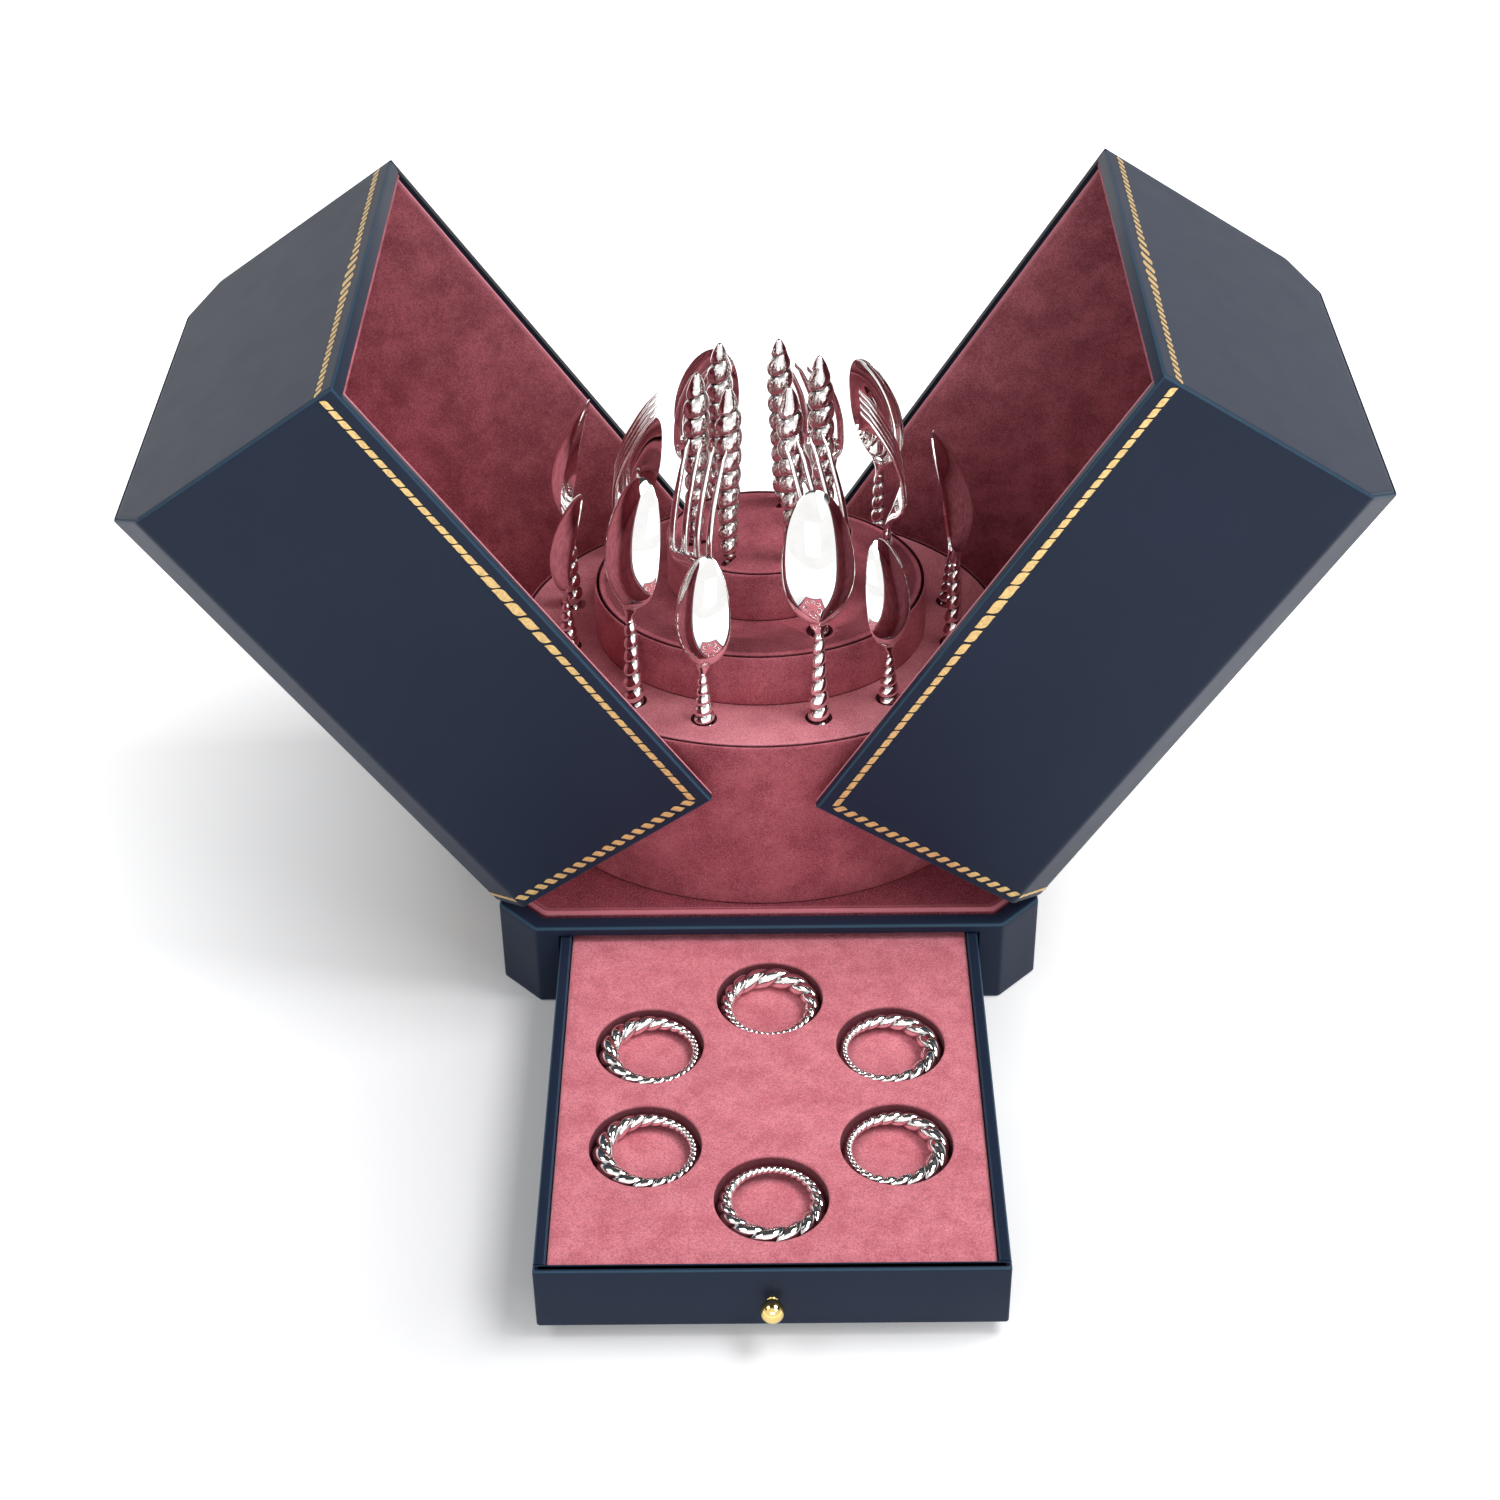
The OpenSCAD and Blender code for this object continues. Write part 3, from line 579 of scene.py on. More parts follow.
def make_covers():
    top = COVER_TOP - PANEL_T
    rim = COVER_TOP - 0.15
    wall = fillet(
        [(0, COVER_Z), (0, rim), (LIP, rim), (LIP, top), (WALL, top), (WALL, COVER_Z)],
        [1.3, 0.8, 0.1, 0, 0.2, 1.0], guard=2.0)
    lining = fillet(
        [(WALL, COVER_Z + 0.2), (WALL, top), (WALL + LINING, top - LINING), (WALL + LINING, COVER_Z + 0.2)],
        [0.4, 0, 0.2, 0.5])
    for side, place in SIDES.items():
        body = side + "_cover"
        make(side + "_cover_leather", [cover_wall(wall, (1.3, 0.5, 0, WALL, 0))], M["leather"], body,
             [side + "_cover_case"], place)
        levels = rounded_levels(top, COVER_TOP, 0, 1.1)
        make(side + "_top_leather", [plate(half_outline(LIP + GROOVE), levels)], M["leather"], body,
             [side + "_cover_panel"], place)
        ceiling = plate(half_outline(WALL + 0.05), rounded_levels(top - LINING, top, 0.5, 0), radius=1.5)
        make(side + "_velvet_lining", [cover_wall(lining, (0.25, 0.35, WALL, WALL + LINING, 1)), ceiling],
             M["lining"], body, [side + "_cover_lining"], place)
        rope_border(side, body, place)


# ---------- the stamped rope border ----------
def leaf(length, width, n=10):
    """Outline of one strand of the rope: pointed at both ends, fuller above at one and below at the other."""
    top, low = [], []
    for k in range(n + 1):
        t = k / n
        x = (t - 0.5) * length
        bulge = sin(pi * t) ** 1.05 * width / 2
        bend = 0.13 * width * sin(TAU * t)
        top.append((x, bulge + bend))
        low.append((x, -bulge + bend))
    return low + top[-2:0:-1]


def rope_run(start, end, widths, turn, to_point, skip=()):
    """Strands along a line in a plane, as (dark bed parts that paint the stamped groove's shadow, foil
    parts). widths is (ends, middle).
    to_point takes plane coordinates and a height off the leather to a point of the closed cover.
    skip lists stretches of the line that get no strands."""
    a, b = Vector(start), Vector(end)
    whole = (b - a).length
    along = (b - a).normalized()
    shadow_beds, strands = [], []

    def pitch(s):
        swell = exp(-(((s / whole) - 0.5) / 0.115) ** 2)
        return widths[0] + (widths[1] - widths[0]) * swell

    places, s = [], 0.0
    while s < whole:
        places.append(s + pitch(s) / 2)
        s += pitch(s)
    stretch = whole / s
    across = Vector((-along.y, along.x))
    c, n = cos(turn), sin(turn)
    for s in places:
        p = pitch(s) * stretch
        middle = a + along * (s * stretch)
        if any(lo < s * stretch < hi for lo, hi in skip):
            continue
        for grow, height, store in ((BED_GROW, BED_H, shadow_beds), (0.0, FOIL_H, strands)):
            ring = [middle + along * (x * c - y * n) + across * (x * n + y * c)
                    for x, y in leaf(p * STRAND_L + grow * 1.6, p * STRAND_W + grow)]
            inner = [middle + (q - middle) * 0.96 for q in ring]
            rows = [[to_point(q, 0.0) for q in ring], [to_point(q, height) for q in inner]]
            store.append(skin(rows, caps=(False, True)))
    return shadow_beds, strands


def rope_border(side, body, place):
    """Rope along the seam and the foot of each face, and along the seam on top."""
    foot = COVER_Z + ROPE_FOOT
    seam = SEAM - ROPE_SEAM
    top = SEAM - ROPE_TOP
    even = (ROPE_PITCH, ROPE_PITCH)
    shadow_beds, strands = [], []

    def add(run):
        shadow_beds.extend(run[0])
        strands.extend(run[1])

    chamfer = COVER_CORNER
    edge_x, edge_y = -COVER_W + chamfer, COVER_D - chamfer
    diagonal = chamfer * sqrt(2)
    for sign in (-1, 1):
        def face(q, h, sign=sign):
            return (q.x, sign * (COVER_D + h), q.y)

        def facet(q, h, sign=sign):
            f = q.x / diagonal
            g = h / sqrt(2)
            return (edge_x - chamfer * f - g, sign * (COVER_D - chamfer * f + g), q.y)

        add(rope_run((seam, COVER_TOP - 1.8), (seam, foot), (ROPE_PITCH, 9.2), ROPE_TILT, face))
        add(rope_run((seam, foot), (edge_x + 0.6, foot), even, -ROPE_TILT, face))
        add(rope_run((0.8, foot), (diagonal - 0.8, foot), even, ROPE_TILT, facet))

    def outer(q, h):
        return (-COVER_W - h, q.x, q.y)

    skip = [(edge_y + y - ROPE_GAP, edge_y + y + ROPE_GAP) for y in (-HINGE_Y, HINGE_Y)]
    add(rope_run((-edge_y + 0.6, foot), (edge_y - 0.6, foot), even, ROPE_TILT, outer, skip))

    def lid(q, h):
        return (q.x, q.y, COVER_TOP + h)

    add(rope_run((top, -COVER_D + 2.4), (top, COVER_D - 2.4), (5.2, 8.6), -ROPE_TILT, lid))
    for name, parts, key in (("_rope_painted_shadow", shadow_beds, "groove_shadow_leather"), ("_rope_foil", strands, "foil")):
        make(side + name, parts, M[key], body, place=place, sharp=5)


# ---------- plinth ----------
def box_part(low, high):
    (x0, y0, z0), (x1, y1, z1) = low, high
    points = [(x, y, z) for z in (z0, z1) for x, y in ((x0, y0), (x1, y0), (x1, y1), (x0, y1))]
    return points, [(3, 2, 1, 0), (4, 5, 6, 7), (0, 1, 5, 4), (1, 2, 6, 5), (2, 3, 7, 6), (3, 0, 4, 7)]


def base_outline(t):
    """The plinth's outline, drawn in by t, with the thinner wall at the back."""
    back = min(t, BACK_WALL)
    return octagon(-BASE_W + t, BASE_W - t, -BASE_D + t, BASE_D - back, BASE_CORNER - t * CORNER_RATIO)


def make_plinth():
    corners = [(0, 0), (0, BASE_H), (BASE_WALL, BASE_H), (BASE_WALL, 0)]
    profile = fillet(corners, [1.6, 1.6, 0.8, 0.4], guard=2.0)
    # Painted highlight on the plinth's outer rounded edges and corners, partly wear.
    rows, wear_and_painted_light = sweep(
        profile, lambda t: fillet(base_outline(t), [max(2.2 - t * 0.2, 0.6)] * 8, 3, guard=1.5),
        lambda t, v, s: max(v, 0.35 * s if t < 1 else 0.0))
    piece = make("plinth_leather", [(*skin(rows, close_rows=True), wear_and_painted_light)], M["leather"], None)
    hole = DRAWER_W + 0.8
    cutters = [box_part((-hole, -BASE_D - 3, FLOOR_TOP), (hole, -BASE_D + BASE_WALL + 3, BAY_TOP))]
    for sx in (-1, 1):
        x0, x1 = sorted((sx * MORTISE_X, sx * (BASE_W + 2)))
        for y in (-HINGE_Y, HINGE_Y):
            cutters.append(box_part((x0, y - MORTISE_HALF, MORTISE_Z), (x1, y + MORTISE_HALF, BASE_H + 2)))
    carve(piece, cutters)
    soften_opening(piece, hole)
    settle(piece, "plinth", ["plinth_case"])
    make_deck()


def make_deck():
    """The crowned velvet pad round the stand."""
    def pad(inset):
        return drawn_in(COVER_W, COVER_D, COVER_CORNER, WALL + LINING + PAD_GAP + inset)

    levels = rounded_levels(DECK_BOARD_TOP, DECK_TOP, 0, 1.9, 6)
    levels.pop()
    # Painted highlight on the deck's rounded edge and just inside it.
    crown = [(levels[-1][0] + d, DECK_TOP + 0.25 * (1 - exp(-d / 4)), 0.5 if d < 1 else 0.0)
             for d in (0.6, 2.2, 4, 7, 11, 16)]
    edge = [(t, z, min(v * 1.7, 1.0)) for t, z, v in levels]
    deck = make("deck_velvet", [plate(pad, edge + crown, 4, 5.0)], M["deck"], "plinth",
                ["deck_pad"], sharp=60)


def soften_opening(piece, hole):
    """Rounds the leather edges of the drawer opening."""
    bm = bmesh.new()
    bm.from_mesh(piece.data)
    front = -BASE_D * MM
    edges = []
    for e in bm.edges:
        a, b = (v.co for v in e.verts)
        flat = abs(a.y - front) < 1e-5 and abs(b.y - front) < 1e-5
        xs = all(abs(abs(v.x) - hole * MM) < 1e-5 for v in (a, b))
        zs = any(all(abs(v.z - z * MM) < 1e-5 for v in (a, b)) for z in (FLOOR_TOP, BAY_TOP))
        if flat and (xs or zs):
            edges.append(e)
    bmesh.ops.bevel(
        bm, geom=edges, offset=0.7 * MM, segments=3, profile=0.5, affect="EDGES", clamp_overlap=True)
    bm.to_mesh(piece.data)
    bm.free()
    tidy(piece.data)


# ---------- velvet stand ----------
def on_step(step, share, a):
    a = radians(a)
    return (STAND[0] + share * step[0] * sin(a), STAND[1] - share * step[1] * cos(a))


def facing(p):
    return atan2(p[0] - STAND[0], STAND[1] - p[1])


def oval_row(step, out, z):
    return [(STAND[0] + (step[0] + out) * c, STAND[1] + (step[1] + out) * n, z) for c, n in circle(160)]


def trumpet(p, top, depth, r, lip=0.35, shade=(-1.0, -1.0), n=36):
    """A cutter for a hole whose edge rolls in. shade is the painted shade of its wall and of its floor."""
    floor = top - depth
    profile = [(r + lip + 0.6, top + 1.5), (r + lip + 0.1, top + 0.25)]
    profile += [(r + lip * (1 - sin(a)), top - lip * (1 - cos(a))) for a in quarter(4)]
    profile += [(r, top - lip - 0.3), (r, top - lip - 1), (r, floor), (r - 0.1, floor), (r * 0.6, floor)]
    # Painted shade down the hole's wall and on its floor.
    wear_and_painted_light = [0.0] * 5 + [shade[0] * 0.3, shade[0] * 0.6] + [shade[0]] * 3 + [shade[1]] * 2
    rows = [[(p[0] + q * x, p[1] + q * y, z) for x, y in circle(n)] for q, z in profile]
    return (*closed(rows), [v for v in wear_and_painted_light for _ in range(n)])


def slot_cutter(p, top, depth):
    """A cutter for a knife's slot, leaning as the knife does."""
    t, w = (BLADE[2] + 0.8) / 2, (BLADE[1] + 0.8) / 2
    a = facing(p)
    lean = radians(KNIFE_LEAN)
    outline = fillet([(-t, -w), (t, -w), (t, w), (-t, w)], [t * 0.9] * 4, 3)
    rows = []
    for z, grow in ((3.0, 0.5), (0.2, 0.3), (0.0, 0.2), (-0.2, 0.06), (-0.5, 0.0), (-depth, 0.0)):
        row = []
        for x, y, _ in outline:
            x, y = x * (1 + grow / t), y * (1 + grow / w)
            y2, z2 = y * cos(lean) + z * sin(lean), z * cos(lean) - y * sin(lean)
            row.append((p[0] + x * cos(a) - y2 * sin(a),
                        p[1] + x * sin(a) + y2 * cos(a), top + z2))
        rows.append(row)
    # Painted shade down the slot.
    return (*closed(rows), [v for v in (0, 0, 0, 0, -1, -1) for _ in outline])


def oval_part(step, profile):
    """A stack of ovals from rows of (distance outside the padded top, z, value: painted highlight above 0,
    painted shade below 0).
    """
    rows = [oval_row(step, out, z) for out, z, _ in profile]
    return (*closed(rows), [v for _, _, v in profile for _ in rows[0]])


def step_wall(z0, z1):
    """A step's velvet wall: tucked in at its foot, and rolled in at the seam round the top. Its foot and the
    seam get painted shade, and the rolled shoulder a painted highlight.
    """
    wall = [(STEP_RIM - 0.5, z0, -1), (STEP_RIM - 0.35, z0 + 0.55, -1), (STEP_RIM - 0.2, z0 + 0.9, -0.3)]
    count = 5
    wall += [(STEP_RIM, z0 + 1.8 + (z1 - 4.4 - z0) * k / count, 0) for k in range(count + 1)]
    for k in range(1, 9):
        a = pi / 2 * k / 8
        out = STEP_RIM - SEAM_LIP * (1 - cos(a))
        wall.append((out, z1 - 2.3 + 2.2 * sin(a), 0.35 * (k / 8) ** 2))
    lip = STEP_RIM - SEAM_LIP
    floor = z1 - STEP_PAD
    return wall + [(lip - 0.12, z1 - 0.12, 0.1), (lip - 0.2, z1 - 0.25, -1), (lip - 0.35, floor, -1),
                   (-2.5, floor, -1)]


def step_top(z1, shade):
    """A step's padded top, crowned a little, with painted shade down its seam edge and a painted highlight
    just inside it. shade is the painted shade away from its edge.
    """
    edge = STEP_RIM - SEAM_LIP - 0.3 - SEAM_GAP
    top = [(edge - 0.2, z1 - STEP_PAD + 0.05, -1), (edge, z1 - 1.7, -1), (edge, z1 - 0.8, -1)]
    for k in range(6):
        a = pi / 2 * k / 5
        top.append((edge - 0.6 * (1 - cos(a)), z1 - 0.65 + 0.6 * sin(a), -1 + 1.2 * (k / 5) ** 3))
    return top + [(edge - 1.6, z1 + 0.02, 0.3), (-4.2, z1 + 0.08, shade), (-8.0, z1 + 0.16, shade),
                  (-14.0, z1 + 0.2, shade)]


def make_steps():
    """The velvet walls of the steps and their padded tops, with the holes and slots."""
    spoons = [on_step(STEPS[0], SPOON_SHARE, a) for a in SPOON_TURNS + TEASPOON_TURNS]
    forks = [on_step(STEPS[1], FORK_SHARE, a) for a in FORK_TURNS]
    knives = [on_step(STEPS[2], KNIFE_SHARE, a) for a in KNIFE_TURNS]
    floors = (DECK_TOP, STEPS[0][2], STEPS[1][2])
    for i, (step, z0) in enumerate(zip(STEPS, floors)):
        z1 = step[2]
        number = str(i + 1)
        block = make("step_wall_" + number, [oval_part(step, step_wall(z0, z1))], M["velvet"], None)
        # Step 2's top gets painted shade away from its edge.
        top = oval_part(step, step_top(z1, -0.55 if i == 1 else 0.0))
        # Step 1's top takes the lighter pad velvet: painted light.
        pad = make("step_top_" + number, [top], M["velvet" if i else "pad"], None)
        cuts = []
        if i == 0:
            cuts += [trumpet(p, z1 + 0.15, SPOON_HOLE, HOLE_R) for p in spoons]
        if i <= 1:
            level = z1 + 0.15 if i == 1 else STEPS[1][2]
            cuts += [trumpet(p, level, FORK_HOLE, HOLE_R) for p in forks]
        level = z1 + 0.2 if i == 2 else STEPS[2][2]
        cuts += [slot_cutter(p, level, BLADE[0] + 1.5) for p in knives]
        for piece in (pad, block):
            carve(piece, cuts, 50)
        settle(block, "plinth", [f"step{number}_block"])
        settle(pad, "plinth", [f"step{number}_pad"])


# ---------- silverware ----------
def smooth_table(table, z):
    """Smooth interpolation in a table of (z, value), flat beyond its ends."""
    zs, vs = zip(*table)
    if z <= zs[0]:
        return vs[0]
    if z >= zs[-1]:
        return vs[-1]
    slopes = []
    for i in range(len(zs)):
        if i in (0, len(zs) - 1):
            slopes.append(0.0)
            continue
        a = (vs[i] - vs[i - 1]) / (zs[i] - zs[i - 1])
        b = (vs[i + 1] - vs[i]) / (zs[i + 1] - zs[i])
        slopes.append(0.0 if a * b <= 0 else 2 * a * b / (a + b))
    i = max(k for k in range(len(zs)) if zs[k] <= z)
    h = zs[i + 1] - zs[i]
    t = (z - zs[i]) / h
    return ((2 * t ** 3 - 3 * t ** 2 + 1) * vs[i] + (t ** 3 - 2 * t ** 2 + t) * h * slopes[i]
            + (3 * t ** 2 - 2 * t ** 3) * vs[i + 1] + (t ** 3 - t ** 2) * h * slopes[i + 1])


def thread(phase, depth):
    """Radius factor of one thread of round section: 1 on its crest, about 1 - depth in its valley."""
    u = 2 * (phase % 1) - 1
    return 1 - depth * (1 - sqrt(max(0.0, 1 - 0.96 * u * u)))


def phases(z0, z1, step, pitch):
    """Heights from z0 to z1 with the turns of a thread of that varying pitch, counted from z1 down."""
    count = max(2, int(round((z1 - z0) / step)))
    zs = [z0 + (z1 - z0) * k / count for k in range(count + 1)]
    turns, total = [0.0] * (count + 1), 0.0
    for k in range(count - 1, -1, -1):
        total += (zs[k + 1] - zs[k]) / pitch((zs[k] + zs[k + 1]) / 2)
        turns[k] = total
    return list(zip(zs, turns))


def crease(k, depth):
    """Painted shade at a point of a thread: 0 on its crest, about -1 in its valley."""
    return (k - 1) / (0.8 * depth)


def twisted_rows(zs, radius, depth, fade, m):
    """Rings of m points up a twisted stem, with the painted shade of their creases."""
    rows = []
    for z, turns in zs:
        r, f = radius(z), fade(z)
        row = []
        for j, (c, n) in enumerate(circle(m)):
            k = thread(turns + j / m, depth * f)
            row.append((r * k * c, r * k * n, z, crease(k, depth)))
        rows.append(row)
    return rows


def handle_rows(crest, step, depth, first, growth, reach, m):
    """A twisted handle from a table of its radius from its hidden end up to the neck. Its pitch grows
    from first, at the neck, by growth over that reach."""
    bottom, end = crest[0][0], crest[-1][0]

    def pitch(z):
        return first + growth * clamp((end - z) / reach)

    def fade(z):
        return clamp((end + 0.2 - z) / 1.2) * clamp((z - bottom) / 4)

    return twisted_rows(phases(bottom, end, step, pitch), lambda z: smooth_table(crest, z), depth, fade, m)


def smooth_step(x):
    x = clamp(x)
    return x * x * (3 - 2 * x)


def spoon_mesh(bowl, crest, neck_r, flare_r, pitches, keel):
    """A spoon on end: a twisted handle, a neck that flares, and an egg-shaped bowl on top, given as
    (foot, length, width, depth, lean). crest is the handle's table, and keel the ridge behind the neck."""
    m = 40
    bowl_z, length, width, depth, lean = bowl
    beads_end = crest[-1][0]
    rows = handle_rows(crest, 0.4, 0.5, pitches[0], pitches[1] - pitches[0], 45, m)
    widest = 0.4

    def egg(s):
        u = (widest - s) / widest if s < widest else (s - widest) / (1 - widest)
        return sqrt(max(0.0, 1 - u * u))

    top = bowl_z + length
    start = beads_end + 0.3
    heights = [start + (bowl_z - 1 - start) * k / 14 for k in range(15)]
    count = 60
    heights += [top - (length + 1) * (0.5 + 0.5 * cos(pi * (0.08 + 0.92 * k / count)))
                for k in range(1, count + 1)]
    heights = sorted(z for z in heights if z <= top)
    for z in heights:
        s = (z - bowl_z) / length
        neck = neck_r + (flare_r - neck_r) * smooth_step((z - bowl_z + 6) / 7)
        e = egg(s) if s > 0 else 0.0
        w = ((width / 2 * e) ** 3 + (neck * sqrt(max(0.0, 1 - max(0.0, s)))) ** 3) ** (1 / 3)
        flat = smooth_step((z - bowl_z + 8) / 10)
        if s <= 0:
            t, power, d, rim = 2 * neck_r * (1 - 0.3 * flat), 1 - 0.2 * flat, 0.0, 0.0
        else:
            t = smooth_table([(0, 1.4 * neck_r), (0.12, 1.9), (0.35, 1.6), (1.0, 1.3)], s)
            t *= min(1.0, sqrt(max(0.0, 1 - s)) * 3.5)
            power = smooth_table([(0, 0.8), (0.2, 0.55)], s)
            d = depth * e ** 1.5
            rim = lean * s - 2.5 * sin(pi * s)
        ridge = keel * smooth_step((s + 0.1) / 0.1) * (1 - smooth_step(s / 0.16))
        row = []
        for c, n in circle(m):
            dip = d * (1 - c * c) ** 0.9
            y = rim - dip + copysign(abs(n) ** power * t / 2, n)
            if n < 0:
                y -= ridge * exp(-(w * c / (0.4 * flare_r)) ** 2)
            row.append((w * c, y, z))
        rows.append(row)
    return closed(rows)


def flat_ring(x, y, z, w, t, m, power=0.5, tilt=0.0):
    """A rounded rectangular cross-section, tilted back about X."""
    row = []
    for j in range(m):
        a = TAU * (j + 0.5) / m
        c, n = cos(a), sin(a)
        u = copysign(abs(c) ** power, c) * w / 2
        v = copysign(abs(n) ** power, n) * t / 2
        row.append((x + u, y + v * cos(tilt), z + v * sin(tilt)))
    return row


def fork_parts(bend):
    """A fork on end: a twisted handle, a palm and four long tines. bend scales the tines' curve inwards."""
    m = 36
    crest = [(-99.5, 0.35), (-96.5, 3.0), (-88, 4.4), (-78, 4.9), (0, 4.4), (12, 3.4), (24, 2.2)]
    beads_end = crest[-1][0]
    rows = handle_rows(crest, 0.5, 0.36, 6.6, 1.6, 60, m)
    half = 1.6
    palm = 2 * (1.5 * TINE_PITCH + half)
    width = [(24, 4.0), (28, 3.7), (33, 8.5), (37, 17.5), (41, palm - 0.8), (46, palm)]
    thick = [(24, 3.8), (30, 2.9), (36, 2.3), (46, 2.1)]
    curve = [(24, 0), (30, -1), (37, -4.6), (42, -6.4), (46, -6.9), (54, -6.4), (66, -3), (78, 3.2),
             (87.5, 9.1), (93.5, 13.6)]
    curve = [(z, y if z < 47 else -6.9 + (y + 6.9) * bend) for z, y in curve]
    root, tip = 46.0, 93.5
    for k in range(1, 31):
        z = beads_end + (root - beads_end) * k / 30
        w, t = smooth_table(width, z), smooth_table(thick, z)
        rows.append(flat_ring(0, smooth_table(curve, z), z, w, t, m, smooth_table([(24, 1.0), (36, 0.5)], z)))
    parts = [closed(rows)]
    taper = [(root, 2 * half), (54, 3.1), (66, 2.8), (78, 2.4), (87.5, 1.7), (92.5, 1.1), (tip, 0.5)]
    depth = [(root, 2.1), (66, 2.1), (78, 2.0), (88, 1.6), (92.5, 1.1), (tip, 0.5)]
    round_root = TINE_PITCH / 2 - half
    for i in range(4):
        x = (i - 1.5) * TINE_PITCH
        rows = []
        for k in range(51):
            z = root - 1 + (tip - root + 1) * (k / 50) ** 1.15
            w = smooth_table(taper, z)
            above = clamp((z - root) / round_root)
            extra = (TINE_PITCH - w) * (1 - sqrt(1 - (1 - above) ** 2))
            if i in (0, 3):
                x_now, w_now = x + copysign(extra / 4, -x), w + extra / 2
            else:
                x_now, w_now = x, w + extra
            tilt = -atan(smooth_table(curve, z + 0.5) - smooth_table(curve, z - 0.5))
            y, t = smooth_table(curve, z), smooth_table(depth, z)
            rows.append(flat_ring(x_now, y, z, w_now, t, 20, 0.5, tilt))
        parts.append(closed(rows))
    return parts


def knife_parts():
    """A knife point down: a thick twisted handle with a pointed tip, and a blade below it."""
    m = 44
    top = KNIFE_H
    crest = [(0.2, 0.4), (1.2, 1.6), (3.4, 3.3), (6.5, 4.5), (24, 4.9), (top - 21, 6.1), (top - 14, 5.7),
             (top - 8, 4.2), (top - 4, 3.0), (top - 1.8, 1.9), (top - 0.7, 1.2), (top - 0.15, 0.5),
             (top, 0.1)]

    def pitch(z):
        return 7.8 + 2.4 * clamp(z / 80)

    def fade(z):
        return smooth_step((top - 4 - z) / 5) * clamp((z - 0.5) / 3)

    rows = twisted_rows(phases(0.2, top, 0.45, pitch), lambda z: smooth_table(crest, z), 0.46, fade, m)
    length, width, thick = BLADE
    blade = []
    edge = 0.25
    half = width / 2
    outline = [(2, 1.2, 1.2), (-3, 2.6, 2.6), (-8, half, half), (-length + 24, half, half),
               (-length + 10, 3.4, half), (-length + 3, 0.4, half - 0.4), (-length, -2.2, 3.2)]
    for z, a, b in outline:
        section = [(thick / 2, -a + edge), (thick / 2, b - edge), (thick / 4, b), (-thick / 4, b),
                   (-thick / 2, b - edge), (-thick / 2, -a + edge), (-thick / 8, -a), (thick / 8, -a)]
        blade.append([(x, y, z) for x, y in section])
    return [closed(rows), closed(blade)]


def lay_out(mesh, name, x, y, z, turn):
    """A copy of a silver piece at a place in millimetres."""
    piece = add_object(name + "_silver", mesh)
    piece.matrix_world = Matrix.Translation((x * MM, y * MM, z * MM)) @ turn
    settle(piece, name, [name])


def silver_mesh(name, parts, sharp, finish="silver"):
    piece = make(name, parts, M[finish], None, sharp=sharp)
    mesh = piece.data
    bpy.data.objects.remove(piece)
    return mesh


def make_silverware():
    big = [(-79.5, 0.35), (-77, 3.2), (-70.5, 4.8), (-60, 5.2), (2, 5.1), (11, 4.6), (19, 3.9), (26.5, 3.5),
           (34, 3.2), (41, 2.8), (44.5, 2.3)]
    small = [(-79.5, 0.35), (-77, 2.9), (-70.5, 4.4), (-60, 5.0), (1, 5.0), (6, 4.4), (12.5, 3.5), (18, 2.8),
             (23, 2.1), (25, 1.5)]
    big_bowl, small_bowl = (52, 60, 32.6, 8.5, 13), (30, 51, 26, 7, 10)
    spoon = silver_mesh("tablespoon", [spoon_mesh(big_bowl, big, 2.0, 4.8, (6.5, 8.2), 0.9)], 50)
    teaspoon = silver_mesh("teaspoon", [spoon_mesh(small_bowl, small, 1.3, 3.6, (4.7, 6.8), 0.6)], 50)
    fork = silver_mesh("fork", fork_parts(1.0), 60)
    straighter = silver_mesh("fork_straighter", fork_parts(0.78), 60)
    knife = silver_mesh("knife", knife_parts(), 50, "knife_silver_shaded")
    for kind, mesh, turns, step, share, lean in (
            ("spoon", spoon, SPOON_TURNS, STEPS[0], SPOON_SHARE, 0),
            ("teaspoon", teaspoon, TEASPOON_TURNS, STEPS[0], SPOON_SHARE, 0),
            ("fork", fork, FORK_TURNS, STEPS[1], FORK_SHARE, 0),
            ("knife", knife, KNIFE_TURNS, STEPS[2], KNIFE_SHARE, KNIFE_LEAN)):
        for i, a in enumerate(turns):
            name = f"{kind}_{i + 1}"
            p = on_step(step, share, a)
            turn = Matrix.Rotation(facing(p) + radians(TURNED.get(name, 0)), 4, "Z")
            tilt = Matrix.Rotation(-radians(lean), 4, "X")
            lay_out(straighter if name in STRAIGHTER else mesh, name, *p, step[2], turn @ tilt)


def ring_mesh():
    """A napkin ring: two rounded strands twisted into a tube that is thickest at its front, -Y."""
    n, m, starts, lobes = 480, 40, 2, 25
    valley = 0.42
    lobe_front, lobe_back = 10.4, 2.7
    density = []
    for i in range(n):
        near = 0.5 + 0.5 * cos(TAU * i / n)
        density.append(1 / (lobe_back + (lobe_front - lobe_back) * near))
    total = sum(density)
    turns, run = [], 0.0
    for d in density:
        turns.append(run / total * lobes)
        run += d
    thick, thin, radius, shift = RING_TUBE
    rows = []
    for i in range(n):
        a = TAU * i / n
        tube = (thick + thin) / 2 + (thick - thin) / 2 * cos(a)
        row = []
        for j, (c, s) in enumerate(circle(m)):
            k = thread(turns[i] - starts * j / m, valley)
            r = tube * k
            out = radius + r * c
            z = thick - RING_THICK + r * s
            row.append((out * sin(a), shift - out * cos(a), z, crease(k, valley)))
        rows.append(row)
    return skin(rows, close_rows=True)


def recess_place(i):
    a = radians(60 * i)
    return (RECESS_CIRCLE * sin(a), RECESS_Y - RECESS_CIRCLE * cos(a))


